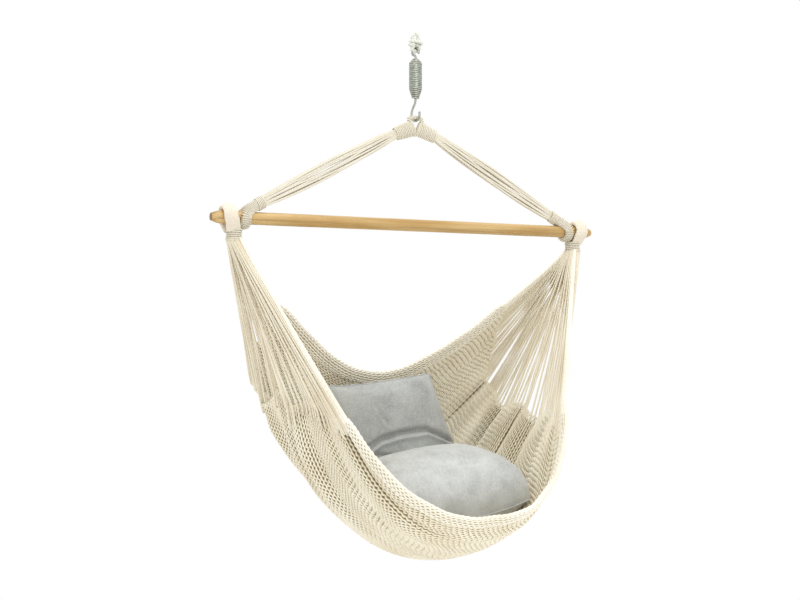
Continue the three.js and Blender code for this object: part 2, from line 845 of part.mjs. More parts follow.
// The gathered ends are pleated: the pleats run out towards the middle and leave the edges smooth.
function foldedPoint(u, v) {
  const gather = THREE.MathUtils.smoothstep(Math.abs(u), 0.25, 1) ** 1.3;
  let fold = pleatSwell * Math.sqrt(Math.sin(v * halfTurn));
  for (const { place, depth, half } of pleatShares) {
    fold -= pleatDepth * depth * Math.exp(-(((v - place) / half) ** 2));
  }
  return netPoint(u, v).addScaledVector(netNormal(u, v), gather * fold);
}

function seatNet() {
  const grid = netSteps + 1;
  const rows = netRowShares.length - 1;
  const positions = [];
  for (const face of [1, -1]) {
    for (let i = 0; i < grid; i++) {
      for (const v of netRowShares) {
        const u = (2 * i) / netSteps - 1;
        const point = foldedPoint(u, v).addScaledVector(netNormal(u, v), (face * netThickness) / 2);
        positions.push(point.x, point.y, point.z);
      }
    }
  }
  const index = [];
  const at = (layer, i, j) => (layer * grid + i) * (rows + 1) + j;
  const quad = (a, b, c, d) => index.push(a, b, c, a, c, d);
  for (let i = 0; i < netSteps; i++) {
    for (let j = 0; j < rows; j++) {
      quad(at(0, i, j), at(0, i, j + 1), at(0, i + 1, j + 1), at(0, i + 1, j));
      quad(at(1, i, j), at(1, i + 1, j), at(1, i + 1, j + 1), at(1, i, j + 1));
    }
  }
  for (let k = 0; k < netSteps; k++) {
    quad(at(0, k, 0), at(0, k + 1, 0), at(1, k + 1, 0), at(1, k, 0));
    quad(at(0, k + 1, rows), at(0, k, rows), at(1, k, rows), at(1, k + 1, rows));
  }
  for (let k = 0; k < rows; k++) {
    quad(at(0, 0, k + 1), at(0, 0, k), at(1, 0, k), at(1, 0, k + 1));
    quad(at(0, netSteps, k), at(0, netSteps, k + 1), at(1, netSteps, k + 1), at(1, netSteps, k));
  }
  const geometry = new THREE.BufferGeometry();
  geometry.setAttribute('position', new THREE.Float32BufferAttribute(positions, 3));
  geometry.setIndex(index);
  geometry.computeVertexNormals();
  return geometry;
}

// Centre of the rolled edge that runs beside the net's front (v = 1) or back (v = 0) edge.
function edgeCentre(u, v, width) {
  const step = 0.01;
  const along = netPoint(u + step, v).sub(netPoint(u - step, v)).normalize();
  const outward = along.cross(netNormal(u, v)).multiplyScalar(v > 0 ? 1 : -1).normalize();
  return netPoint(u, v).addScaledVector(outward, width / 2 + edgeClearance);
}
const edgeClearance = 0.6;

// The rolled edges carry on as cord bundles up to the necks, growing thinner.
function edgeRoll(v, width) {
  const points = [];
  const normals = [];
  const halves = [];
  for (let k = 0; k <= netSteps; k++) {
    const u = (2 * k) / netSteps - 1;
    points.push(edgeCentre(u, v, width));
    normals.push(netNormal(u, v));
    halves.push(width / 2);
  }
  for (const side of [-1, 1]) {
    const corner = edgeCentre(side, v, width);
    const run = corner.clone().sub(edgeCentre(side * 0.96, v, width)).normalize();
    const y = netCordSpread * (0.5 - v);
    const top = new THREE.Vector3(side * (neckReach - netCordColumn), y, neckBottom - seatGap);
    const reach = corner.distanceTo(top) / 3;
    const line = new THREE.CubicBezierCurve3(
      corner,
      corner.clone().addScaledVector(run, reach),
      top.clone().setZ(top.z - cordBend),
      top,
    );
    for (let k = 1; k <= edgeSteps; k++) {
      const share = k / edgeSteps;
      const half = THREE.MathUtils.lerp(width / 2, edgeEndDiameter / 2, Math.sqrt(share));
      if (side < 0) {
        points.unshift(line.getPoint(share));
        normals.unshift(normals[0]);
        halves.unshift(half);
      } else {
        points.push(line.getPoint(share));
        normals.push(normals[normals.length - 1]);
        halves.push(half);
      }
    }
  }
  const thin = halves.map((half) => Math.min(rollThickness / 2, half));
  return sweep(points, normals, thin, halves, 8);
}
const edgeSteps = 6;
const edgeEndDiameter = 8;

// Cords leave the net where it bulges, between the pleats.
const netCordShares = [0.05, 0.13, 0.2, 0.315, 0.355, 0.5, 0.61, 0.73, 0.795, 0.86, 0.93];
const cordColumnShares = [0.1, 0.7, 1.35, -1, 0.5, -1, 0, 1, -1, 0, 1];

// Cords of the fan: from a tight bundle under the neck to the end of the net, between its edges.
function netCordEnds(index) {
  const v = netCordShares[index];
  const column = netCordColumn * cordColumnShares[index];
  const y = netCordSpread * (0.5 - v);
  const top = new THREE.Vector3(neckReach + column, y, neckBottom);
  const low = foldedPoint(1, v);
  const outward = endOutward(v);
  return { top, low, outward };
}

// The way out of the net at its gathered right end, square to the end.
function endOutward(v) {
  const step = 0.01;
  const along = netPoint(1, Math.min(v + step, 1)).sub(netPoint(1, Math.max(v - step, 0)));
  return netNormal(1, v).cross(along).normalize();
}

function netCord(index, side) {
  const { top, low, outward } = netCordEnds(index);
  const start = low.clone().addScaledVector(outward, cordEndGap);
  const end = top.clone().setZ(top.z - seatGap);
  const line = new THREE.CubicBezierCurve3(
    start,
    start.clone().addScaledVector(outward, cordBend),
    end.clone().setZ(end.z - cordBend),
    end,
  );
  return mirrored(tube(line, netCordDiameter / 2, 6, 6), side);
}
const cordBend = 24;

// Cushions: square covers whose sides pull in between the corners, filled to a crown

const cushionSteps = 14;
const cushionPull = 0.07;
const crownFullness = 0.42;
const bellyFullness = 0.8;

function cushion(width, depth, crown, belly, dish) {
  const grid = cushionSteps + 1;
  const places = new Map();
  const positions = [];
  const vertex = (face, i, j) => {
    const rim = i === 0 || j === 0 || i === cushionSteps || j === cushionSteps;
    const key = rim ? `rim ${i} ${j}` : `${face} ${i} ${j}`;
    if (!places.has(key)) {
      const a = Math.sin(((2 * i) / cushionSteps - 1) * quarterTurn);
      const b = Math.sin(((2 * j) / cushionSteps - 1) * quarterTurn);
      const x = (width / 2) * a * (1 - cushionPull * a * a * (1 - b * b));
      const y = (depth / 2) * b * (1 - cushionPull * b * b * (1 - a * a));
      const fullness = face > 0 ? crownFullness : bellyFullness;
      const full = rim ? 0 : ((1 - a * a) * (1 - b * b)) ** fullness;
      const z = (face > 0 ? crown : -belly) * full + dish * a * a;
      places.set(key, positions.length / 3);
      positions.push(x, y, z);
    }
    return places.get(key);
  };
  const index = [];
  for (let i = 0; i < grid - 1; i++) {
    for (let j = 0; j < grid - 1; j++) {
      for (const face of [1, -1]) {
        const [a, b, c, d] = [
          vertex(face, i, j), vertex(face, i + 1, j), vertex(face, i + 1, j + 1), vertex(face, i, j + 1),
        ];
        if (face > 0) index.push(a, b, c, a, c, d);
        else index.push(a, c, b, a, d, c);
      }
    }
  }
  const geometry = new THREE.BufferGeometry();
  geometry.setAttribute('position', new THREE.Float32BufferAttribute(positions, 3));
  geometry.setIndex(index);
  geometry.computeVertexNormals();
  return geometry;
}

// How far a body can move along a way before it meets the net.
function wayTo(net, geometry, way) {
  const caster = new THREE.Raycaster();
  let least = Infinity;
  const measure = (mesh, from, direction) => {
    const place = from.attributes.position;
    for (let i = 0; i < place.count; i++) {
      caster.set(new THREE.Vector3().fromBufferAttribute(place, i), direction);
      const hit = caster.intersectObject(mesh, false)[0];
      if (hit) least = Math.min(least, hit.distance);
    }
  };
  const bothSides = (shape) => new THREE.Mesh(shape, new THREE.MeshBasicMaterial({ side: THREE.DoubleSide }));
  measure(bothSides(net), geometry, way);
  measure(bothSides(geometry), net, way.clone().negate());
  return least;
}

function moved(geometry, obstacle, way) {
  const travel = wayTo(obstacle, geometry, way) - seatGap;
  return geometry.translate(way.x * travel, way.y * travel, way.z * travel);
}

// The net pushes back whatever of a cushion would reach through it.
function pressed(geometry, net, way) {
  const mesh = new THREE.Mesh(net, new THREE.MeshBasicMaterial({ side: THREE.DoubleSide }));
  const caster = new THREE.Raycaster();
  const place = geometry.attributes.position;
  for (let i = 0; i < place.count; i++) {
    const point = new THREE.Vector3().fromBufferAttribute(place, i);
    caster.set(point.clone().addScaledVector(way, -pressReach), way);
    const hit = caster.intersectObject(mesh, false)[0];
    if (!hit || hit.distance - pressGap > pressReach) continue;
    const seat = hit.point.addScaledVector(way, -pressGap);
    place.setXYZ(i, seat.x, seat.y, seat.z);
  }
  geometry.computeVertexNormals();
  return geometry;
}
const pressReach = 160;
const pressGap = 1;
const deepestY = netSetBack + netReach * Math.max(...middleShares.map(([reach]) => reach));

function backCushion(net) {
  const geometry = cushion(backCushionWidth, backCushionHeight, backCushionHalf, backCushionHalf, 0);
  const back = new THREE.Vector3(0, 1, 0);
  geometry.rotateX(quarterTurn - backCushionLean);
  geometry.translate(backCushionX, deepestY - backCushionInset, barZ - backCushionDrop);
  moved(geometry, net, back).translate(0, backCushionPress, 0);
  return pressed(geometry, net, back);
}

function seatCushion(net, back) {
  const geometry = cushion(seatCushionWidth, seatCushionDepth, seatCushionCrown, seatCushionBelly, seatCushionDish);
  geometry.rotateX(seatCushionTilt);
  geometry.translate(seatCushionX, deepestY - seatCushionInset, barZ - netDrop + seatCushionRest);
  moved(geometry, back, new THREE.Vector3(0, 1, 0));
  return pressed(geometry, net, new THREE.Vector3(0, 0, -1));
}

// Assembly

add('hanging_rope', hangingRope(), ropeWhite, 0.9, 0);
add('rope_seizing', ropeSeizing(), ropeWhite, 0.9, 0);
add('upper_hook', upperHook(), steelGrey, 0.35, 1);
add('spring_coil', springCoil(), steelGrey, 0.35, 1);
add('lower_hook', lowerHook(), steelGrey, 0.35, 1);
addCotton('apex_eye', apexEye());
add('spreader_bar', spreaderBar(), honeyWood, 0.55, 0);
for (const [name, side] of [['left', -1], ['right', 1]]) {
  addCotton(`${name}_apex_whipping`, apexWhipping(side));
  addCotton(`${name}_collar`, collarWinding(side));
  addCotton(`${name}_sling_loop`, slingLoop(side));
  addCotton(`${name}_seat_loop`, seatLoop(side));
  addCotton(`${name}_neck_binding`, neckBinding(side));
  for (let i = 0; i < strandCount; i++) {
    addCotton(`${name}_suspension_cord_${i + 1}`, suspensionCord(i, side));
  }
  for (let i = 0; i < netCordShares.length; i++) {
    addCotton(`${name}_net_cord_${i + 1}`, netCord(i, side));
  }
}
const net = seatNet();
addCotton('seat_net', net);
addCotton('back_edge_cord', edgeRoll(0, backRollWidth));
addCotton('front_edge_cord', edgeRoll(1, frontRollWidth));
const back = backCushion(net);
add('back_cushion', back, linenGrey, 0.95, 0);
add('seat_cushion', seatCushion(net, back), linenGrey, 0.95, 0);

export default group;
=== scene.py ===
# Hammock chair: the looks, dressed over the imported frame. Metres, Z up, the chair faces -Y.

import math
from functools import partial

import bpy
import numpy as np
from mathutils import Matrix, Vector
from mathutils.bvhtree import BVHTree


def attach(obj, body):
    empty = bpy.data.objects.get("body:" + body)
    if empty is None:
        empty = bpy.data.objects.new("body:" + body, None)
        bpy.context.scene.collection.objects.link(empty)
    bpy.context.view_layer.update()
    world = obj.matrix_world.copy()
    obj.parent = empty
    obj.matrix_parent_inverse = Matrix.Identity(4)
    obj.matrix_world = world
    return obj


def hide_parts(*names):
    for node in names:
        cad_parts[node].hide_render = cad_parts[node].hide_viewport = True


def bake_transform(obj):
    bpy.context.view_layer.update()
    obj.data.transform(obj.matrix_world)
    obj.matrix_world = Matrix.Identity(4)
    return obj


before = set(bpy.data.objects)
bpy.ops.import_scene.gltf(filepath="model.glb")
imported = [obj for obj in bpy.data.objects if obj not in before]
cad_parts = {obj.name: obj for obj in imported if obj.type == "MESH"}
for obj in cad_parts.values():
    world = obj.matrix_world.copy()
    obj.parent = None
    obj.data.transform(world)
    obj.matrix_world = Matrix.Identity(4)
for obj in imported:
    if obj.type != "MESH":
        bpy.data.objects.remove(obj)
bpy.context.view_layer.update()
dice = np.random.default_rng(7)
mm = 0.001
fullTurn = 2 * math.pi


# Nodes and materials


def linearColour(text):
    parts = [int(text[i : i + 2], 16) / 255 for i in (1, 3, 5)]
    return tuple(p / 12.92 if p <= 0.04045 else ((p + 0.055) / 1.055) ** 2.4 for p in parts) + (1,)


def addNode(tree, kind, inputs={}, output=0, **settings):
    node = tree.nodes.new("ShaderNode" + kind)
    for name, value in settings.items():
        setattr(node, name, value)
    for name, value in inputs.items():
        if isinstance(value, bpy.types.NodeSocket):
            tree.links.new(value, node.inputs[name])
        else:
            node.inputs[name].default_value = value
    return node.outputs[output] if len(node.outputs) else None


# A new material has a noise for each pattern: its size along x, y and z in mm, its detail and roughness.
def startMaterial(name, patterns={}):
    material = bpy.data.materials.new(name)
    material.use_nodes = True
    material.node_tree.nodes.clear()
    add = partial(addNode, material.node_tree)
    masks = {"place": add("TexCoord", {}, "Object")} if patterns else {}
    for pattern, (sizes, detail, roughness) in patterns.items():
        scaled = add("Mapping", {"Vector": masks["place"], "Scale": [1 / (size * mm) for size in sizes]})
        settings = {"Vector": scaled, "Scale": 1, "Detail": detail, "Roughness": roughness}
        masks[pattern] = add("TexNoise", settings)
    return material, add, masks


# Each layer lays its colour over the last where its mask is high: the ends are from low, from high and,
# where they aren't 0 and 1, to low and to high.
def finishMaterial(material, add, masks, base, layers, shaderInputs):
    colour = linearColour(base)
    for mask, ends, tint in layers:
        share = add("MapRange", {0: masks[mask], **dict(enumerate(ends, 1))})
        colour = add("Mix", {0: share, 6: colour, 7: linearColour(tint)}, 2, data_type="RGBA")
    add("OutputMaterial", {"Surface": add("BsdfPrincipled", {"Base Color": colour, **shaderInputs})})
    return material


# Undyed spun cotton: fine fibres wound round each ply, a little fuzz that catches light at the rim,
# and slow changes of tone along the cord, so that it doesn't look like plastic. The grooves between
# the plies and the cord's sides are darkened with painted shade.
cottonLook = {
    "shade": "#a1946c",
    "plies": 3,
    "lay": 26 * mm,
    "groove": 0.25,  # how dark the painted shade is in the groove between two plies
    "flank": 0.32,  # how dark the painted shade is on the cord's sides, where it lies against its neighbours
    "patterns": {"tone": ((142.86,) * 3, 3, 0.6), "fibres": ((3.3333,) * 3, 2, 0.7)},
    "plyHeight": 0.5 * mm,
    "fibreHeight": 0.2 * mm,
    "roughness": 0.92,
    "fuzz": 0.25,
    "fuzzTint": "#fff6e2",
}


# A tube's own map gives the length along it and the share of the way round: the plies wind along both.
def cottonMaterial(name, pale, warm, **changes):
    look = {**cottonLook, **changes}
    material, add, masks = startMaterial(name, look["patterns"])
    along = add("SeparateXYZ", {0: add("UVMap", uv_map="cord")})
    around = along.node.outputs[1]
    turns = add("Math", {0: along, 1: look["lay"]}, operation="DIVIDE")
    wound = add("Math", {0: turns, 1: around}, operation="ADD")
    angle = add("Math", {0: wound, 1: math.pi * look["plies"]}, operation="MULTIPLY")
    wave = add("Math", {0: angle}, operation="SINE")
    masks["ply"] = add("Math", {0: wave}, operation="ABSOLUTE")
    # the cord's sides, where it lies against its neighbours, for painted shade
    twice = add("Math", {0: around, 1: 2.0}, operation="MULTIPLY")
    masks["beside"] = add("Math", {0: twice, 1: 0.5}, operation="PINGPONG")
    # over the tone: painted shade in the grooves between plies and on the cord's sides
    layers = [
        ("tone", (0.35, 0.65), warm),
        ("ply", (0, 0.45, look["groove"], 0), look["shade"]),
        ("beside", (0.22, 0.5, 0, look["flank"]), look["shade"]),
    ]
    plyBump = add("Bump", {"Height": masks["ply"], "Strength": 0.45, "Distance": look["plyHeight"]})
    fineBump = {"Height": masks["fibres"], "Strength": 0.2, "Normal": plyBump}
    shaderInputs = {
        "Roughness": look["roughness"],
        "Specular IOR Level": 0.25,
        "Sheen Weight": look["fuzz"],
        "Sheen Roughness": 0.6,
        "Sheen Tint": linearColour(look["fuzzTint"]),
        "Normal": add("Bump", {**fineBump, "Distance": look["fibreHeight"]}),
    }
    return finishMaterial(material, add, masks, pale, layers, shaderInputs)


woven = {"plies": 2, "lay": 28 * mm}
cotton = cottonMaterial("undyedCottonCord", "#f1ead8", "#e6dcc5")
cottonWeave = cottonMaterial("undyedCottonWeave", "#f7f1df", "#ede3cb", **woven, groove=0.42, flank=0.25)
cottonSling = cottonMaterial("laidCottonSling", "#e3ddcd", "#d9d2bf", groove=0.2, flank=0.5)
cottonBand = cottonMaterial("undyedCottonBand", "#ece4d4", "#e0d6c5", flank=0.5)
# a dark copy of the cotton for the net's ground sheet: painted shade, where the slits show the inside of the
# weave
paintedShadeCotton = cottonMaterial("undyedCottonInShade", "#887b52", "#766a45", shade="#5f5537")
# a paler copy for the rolled edges and their cords: painted light, as from the lamp above
paintedLightEdgeCotton = cottonMaterial("undyedCottonEdge", "#fcf8ec", "#f5efde", **woven, groove=0.28, flank=0.16)
# a darker copy for the cores of the rolled edges: painted shade seen through their slits
paintedShadeEdgeCore = cottonMaterial("undyedCottonEdgeCore", "#beb391", "#ada27e", shade="#94895f")
bleached = {"shade": "#b4b3a8", "lay": 14 * mm, "groove": 0.12, "flank": 0.1}
ropeWhite = cottonMaterial("bleachedCottonRope", "#e6e7df", "#dadbd1", **bleached)

# Zinc plated spring wire: cool grey, drawn lines along the wire, dull patches where the plating is thin.
steelLook = {
    "bright": "#babdb3",
    "dull": "#94988b",
    "patterns": {"patches": ((8.3333,) * 3, 4, 0.65), "drawn": ((1.1111, 1.1111, 7.4074), 2, 0.5)},
    "roughness": (0.3, 0.44),
    "lineHeight": 0.1 * mm,
}


def steelMaterial():
    look = steelLook
    material, add, masks = startMaterial("zincPlatedWire", look["patterns"])
    smoothest, roughest = look["roughness"]
    shaderInputs = {
        "Metallic": 1.0,
        "Roughness": add("MapRange", {0: masks["patches"], 1: 0.3, 2: 0.7, 3: smoothest, 4: roughest}),
        "Normal": add("Bump", {"Height": masks["drawn"], "Strength": 0.06, "Distance": look["lineHeight"]}),
    }
    layers = [("patches", (0.38, 0.66), look["dull"])]
    return finishMaterial(material, add, masks, look["bright"], layers, shaderInputs)


steel = steelMaterial()

# Oiled hardwood dowel, turned and sanded: long straight grain, darker growth lines, fine pores.
woodLook = {
    "light": "#d0b178",
    "patterns": {
        "growth": ((480.77, 10.4167, 10.4167), 4, 0.6),
        "pores": ((23.81, 0.79365, 0.79365), 2, 0.6),
        "patches": ((200, 33.3333, 33.3333), 3, 0.5),
    },
    "layers": [
        ("patches", (0.3, 0.7), "#b18b4c"),
        ("growth", (0.5, 0.72, 0, 0.6), "#7b5a2b"),
        ("pores", (0.62, 0.75, 0, 0.5), "#7b5a2b"),
        ("fromMiddle", (548.5 * mm, 549.5 * mm, 0, 0.8), "#6b4a2a"),  # end grain
    ],
    "roughness": (0.42, 0.58),
    "grainHeight": 0.2 * mm,
}


def woodMaterial():
    look = woodLook
    material, add, masks = startMaterial("oiledHardwoodDowel", look["patterns"])
    lengthwise = add("SeparateXYZ", {0: masks["place"]})
    masks["fromMiddle"] = add("Math", {0: lengthwise}, operation="ABSOLUTE")
    smoothest, roughest = look["roughness"]
    shaderInputs = {
        "Roughness": add("MapRange", {0: masks["growth"], 1: 0.3, 2: 0.7, 3: smoothest, 4: roughest}),
        "Coat Weight": 0.12,
        "Coat Roughness": 0.35,
        "IOR": 1.5,
        "Normal": add("Bump", {"Height": masks["growth"], "Strength": 0.2, "Distance": look["grainHeight"]}),
    }
    return finishMaterial(material, add, masks, look["light"], look["layers"], shaderInputs)


wood = woodMaterial()

# Washed linen: slubby plain weave at about 12 threads a centimetre, with fine paler flecks and soft creases.
linenLook = {
    "slub": "#84847f",
    "rubbed": "#ffffff",
    "patterns": {
        "warp": ((0.85, 71.429, 71.429), 1, 0.5),
        "weft": ((71.429, 0.85, 0.85), 1, 0.5),
        "slubs": ((3.8462, 22.222, 22.222), 2, 0.6),
        "heather": ((4.7619,) * 3, 2, 0.7),
        "cloudy": ((62.5,) * 3, 4, 0.6),
        "creases": ((69.444, 41.667, 29.762), 3, 0.5),
    },
    "threadHeight": 0.3 * mm,
    "creaseHeight": 4 * mm,
    "roughness": 0.95,
}


def linenMaterial(name, pale, grey):
    look = linenLook
    material, add, masks = startMaterial(name, look["patterns"])
    layers = [
        ("cloudy", (0.3, 0.7), grey),
        ("slubs", (0.54, 0.7, 0, 0.3), look["slub"]),
        ("heather", (0.45, 0.7, 0, 0.16), look["rubbed"]),
        ("warp", (0.35, 0.7, 0, 0.3), pale),
    ]
    threads = add("Math", {0: masks["warp"], 1: masks["weft"]}, operation="ADD")
    weaveBump = add("Bump", {"Height": threads, "Strength": 0.5, "Distance": look["threadHeight"]})
    creased = {"Height": masks["creases"], "Strength": 0.3, "Normal": weaveBump}
    shaderInputs = {
        "Roughness": look["roughness"],
        "Specular IOR Level": 0.2,
        "Sheen Weight": 0.25,
        "Sheen Roughness": 0.5,
        "Sheen Tint": linearColour("#f2f2f2"),
        "Normal": add("Bump", {**creased, "Distance": look["creaseHeight"]}),
    }
    return finishMaterial(material, add, masks, pale, layers, shaderInputs)


linen = linenMaterial("washedLinenSeat", "#c5c7c4", "#a6a8a4")
linenDark = linenMaterial("washedLinenBack", "#b1b3af", "#939592")
print("materials made")


# Mesh helpers: rings of points along lines, all in quads


def vec(*values):
    return np.array(values, float)


def unit(vectors):
    return vectors / np.maximum(np.linalg.norm(vectors, axis=-1, keepdims=True), 1e-12)


def tangentsOf(lines, closed=False):
    if closed:
        return unit(np.roll(lines, -1, 1) - np.roll(lines, 1, 1))
    return unit(np.gradient(lines, axis=1))


def lengthsAlong(lines):
    steps = np.linalg.norm(np.diff(lines, axis=1), axis=-1)
    return np.concatenate([np.zeros((len(lines), 1)), np.cumsum(steps, 1)], 1)


def readAt(wanted, run, points):
    return np.stack([np.interp(wanted, run, points[:, k]) for k in range(3)], 1)


# Two ways square to lines (count, steps, 3) and to each other, the first close to the given ways.
def squareWays(lines, ways, closed=False):
    along = tangentsOf(lines, closed)
    first = unit(ways - along * (ways * along).sum(-1, keepdims=True))
    return first, np.cross(along, first)


def squareWaysOf(line, ways):
    first, second = squareWays(line[None], ways[None])
    return first[0], second[0]


# A point of an oval round a centre line, and its outward way.
def onOval(centre, first, second, thin, wide, turn):
    point = centre + first * thin * np.cos(turn) + second * wide * np.sin(turn)
    return point, unit(first * np.cos(turn) / thin + second * np.sin(turn) / wide)


# Tubes along lines: thin is the half size along the ways, wide the other one.
def tubes(lines, ways, thin, wide, sides, closed=False):
    count, steps = lines.shape[:2]
    thinWay, wideWay = squareWays(lines, ways, closed)
    turns = np.arange(sides)[:, None] / sides * fullTurn
    thin, wide = (np.broadcast_to(size, (count, steps))[..., None] for size in (thin, wide))
    points = lines[:, :, None] + (thin * thinWay)[:, :, None] * np.cos(turns)
    points = points + (wide * wideWay)[:, :, None] * np.sin(turns)
    number = np.arange(count * steps * sides).reshape(count, steps, sides)
    here = number if closed else number[:, :-1]
    after = np.roll(number, -1, 1) if closed else number[:, 1:]
    quads = np.stack([here, np.roll(here, -1, 2), np.roll(after, -1, 2), after], -1).reshape(-1, 4)
    run = lengthsAlong(lines)
    if closed:
        run = np.concatenate([run, run[:, -1:] + run[:, 1:2]], 1)
    shares = np.arange(sides + 1) / sides
    uvs = np.empty(here.shape + (4, 2))
    uvs[..., :2, 0] = run[:, :-1, None, None]
    uvs[..., 2:, 0] = run[:, 1:, None, None]
    uvs[..., 0, 1] = uvs[..., 3, 1] = shares[:-1]
    uvs[..., 1, 1] = uvs[..., 2, 1] = shares[1:]
    uvs = uvs.reshape(-1, 4, 2)
    if not closed:
        caps = []
        for ring, order in ((number[:, 0], (3, 2, 1, 0)), (number[:, -1], (0, 1, 2, 3))):
            for k in range(1, sides - 2, 2):
                corners = np.stack([ring[:, 0], ring[:, k], ring[:, k + 1], ring[:, k + 2]], -1)
                caps.append(corners[:, order])
        quads = np.concatenate([quads, *caps])
        uvs = np.concatenate([uvs, np.zeros((len(quads) - len(uvs), 4, 2))])
    return points.reshape(-1, 3), quads, uvs


# The plies of a laid cord wind round its centre line; each is returned as lines of its own.
def plies(lines, ways, count, radius, pitch, closed=False):
    first, second = squareWays(lines, ways, closed)
    run = lengthsAlong(lines)
    if closed:
        total = run[:, -1:] + np.linalg.norm(lines[:, :1] - lines[:, -1:], axis=-1)
        pitch = total / np.maximum(np.round(total / pitch), 1)
    outs = []
    for ply in range(count):
        turn = (run / pitch * fullTurn + ply / count * fullTurn)[..., None]
        outs.append(first * np.cos(turn) + second * np.sin(turn))
    return np.concatenate([lines + out * radius for out in outs]), np.concatenate(outs)


def joinShapes(shapes):
    points, quads, uvs = zip(*shapes)
    starts = np.cumsum([0] + [len(p) for p in points])
    quads = [q + start for q, start in zip(quads, starts)]
    return np.concatenate(points), np.concatenate(quads), np.concatenate(uvs)


def piece(name, shape, material, body, nodes=()):
    points, quads, uvs = shape
    mesh = bpy.data.meshes.new(name)
    mesh.vertices.add(len(points))
    mesh.vertices.foreach_set("co", points.astype(np.float32).ravel())
    mesh.loops.add(quads.size)
    mesh.loops.foreach_set("vertex_index", quads.astype(np.int32).ravel())
    mesh.polygons.add(len(quads))
    mesh.polygons.foreach_set("loop_start", np.arange(0, quads.size, 4, dtype=np.int32))
    mesh.polygons.foreach_set("use_smooth", np.ones(len(quads), bool))
    mesh.uv_layers.new(name="cord").data.foreach_set("uv", uvs.astype(np.float32).ravel())
    mesh.update(calc_edges=True)
    mesh.validate()
    mesh.materials.append(material)
    made = bpy.data.objects.new(name, mesh)
    bpy.context.scene.collection.objects.link(made)
    if body:
        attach(made, body)
    if nodes:
        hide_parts(*nodes)
    return made


def bezier(a, b, c, d, steps):
    t = np.linspace(0, 1, steps + 1)[:, None]
    return a * (1 - t) ** 3 + 3 * b * t * (1 - t) ** 2 + 3 * c * t * t * (1 - t) + d * t**3


# A centripetal curve through points, read at even shares of its points.
def smoothCurve(points, shares, closed=False):
    points = np.asarray(points, float)
    count = len(points)
    place = np.asarray(shares) * (count if closed else count - 1)
    index = np.floor(place).astype(int)
    if closed:
        p0, p1, p2, p3 = (points[(index + k) % count] for k in (-1, 0, 1, 2))
    else:
        index = np.minimum(index, count - 2)
        padded = np.vstack([2 * points[0] - points[1], points, 2 * points[-1] - points[-2]])
        p0, p1, p2, p3 = (padded[index + k] for k in range(4))
    t = (place - index)[:, None]
    spans = ((p0, p1), (p1, p2), (p2, p3))
    d0, d1, d2 = (np.sqrt(np.linalg.norm(b - a, axis=1, keepdims=True)) for a, b in spans)
    t1 = ((p1 - p0) / d0 - (p2 - p0) / (d0 + d1) + (p2 - p1) / d1) * d1
    t2 = ((p2 - p1) / d1 - (p3 - p1) / (d1 + d2) + (p3 - p2) / d2) * d1
    return p1 + t1 * t + (-3 * p1 + 3 * p2 - 2 * t1 - t2) * t**2 + (2 * p1 - 2 * p2 + t1 + t2) * t**3


def evenly(points, count, closed=False):
    points = np.vstack([points, points[:1]]) if closed else points
    run = lengthsAlong(points[None])[0]
    return readAt(np.linspace(0, run[-1], count, endpoint=not closed), run, points)


# A cord wound closely round a swept oval, as one unbroken line.
def woundCord(path, ways, thin, wide, cord, pitch, perTurn, phase=0.0, closed=False):
    if closed:
        path, ways = np.vstack([path, path[:1]]), np.vstack([ways, ways[:1]])
    run = lengthsAlong(path[None])[0]
    wanted = np.linspace(0, run[-1], int(run[-1] / pitch * perTurn) + 1)
    centre = readAt(wanted, run, path)
    first, second = squareWaysOf(centre, readAt(wanted, run, ways))
    sizes = (np.broadcast_to(size + cord / 2, run.shape) for size in (thin, wide))
    thin, wide = (np.interp(wanted, run, size)[:, None] for size in sizes)
    turn = (wanted / pitch * fullTurn + phase)[:, None]
    line, out = onOval(centre, first, second, thin, wide, turn)
    return tubes(line[None], out[None], cord / 2, cord / 2, 6)


# A strap of cords laid side by side all round an oval core.
def strapOfCords(path, ways, thin, wide, count, radius):
    first, second = squareWaysOf(path, ways)
    lines, outs = [], []
    for k in range(count):
        turn = (k + 0.5) / count * fullTurn
        turn = turn - 0.16 * math.sin(2 * turn)  # even steps round the oval
        line, out = onOval(path, first, second, thin, wide, turn)
        lines.append(line)
        outs.append(out)
    core = tubes(path[None], ways[None], thin, wide, 12)
    return joinShapes([core, tubes(np.array(lines), np.array(outs), radius, radius * 1.15, 6)])


def lathe(profile, steps=40):
    profile = np.asarray(profile, float)
    turns = np.arange(steps) / steps * fullTurn
    radii, heights = profile[:, :1], np.repeat(profile[:, 1:], steps, 1)
    rings = np.stack([radii * np.cos(turns), radii * np.sin(turns), heights], -1)
    number = np.arange(len(profile) * steps).reshape(len(profile), steps)
    here, after = number[:-1], number[1:]
    quads = np.stack([here, np.roll(here, -1, 1), np.roll(after, -1, 1), after], -1).reshape(-1, 4)
    return rings.reshape(-1, 3), quads, np.zeros((len(quads), 4, 2))


def gridQuads(number):
    return np.stack([number[:-1, :-1], number[:-1, 1:], number[1:, 1:], number[1:, :-1]], -1).reshape(-1, 4)


def rimOf(number):
    return np.concatenate([number[:-1, 0], number[-1, :-1], number[:0:-1, -1], number[0, :0:-1]])


# Both sides are made as the right one; the left one is turned over.
def mirrorX(shape):
    points, quads, uvs = shape
    return points * vec(-1, 1, 1), quads[:, ::-1], uvs[:, ::-1]


bothSides = (("left", mirrorX), ("right", lambda shape: shape))


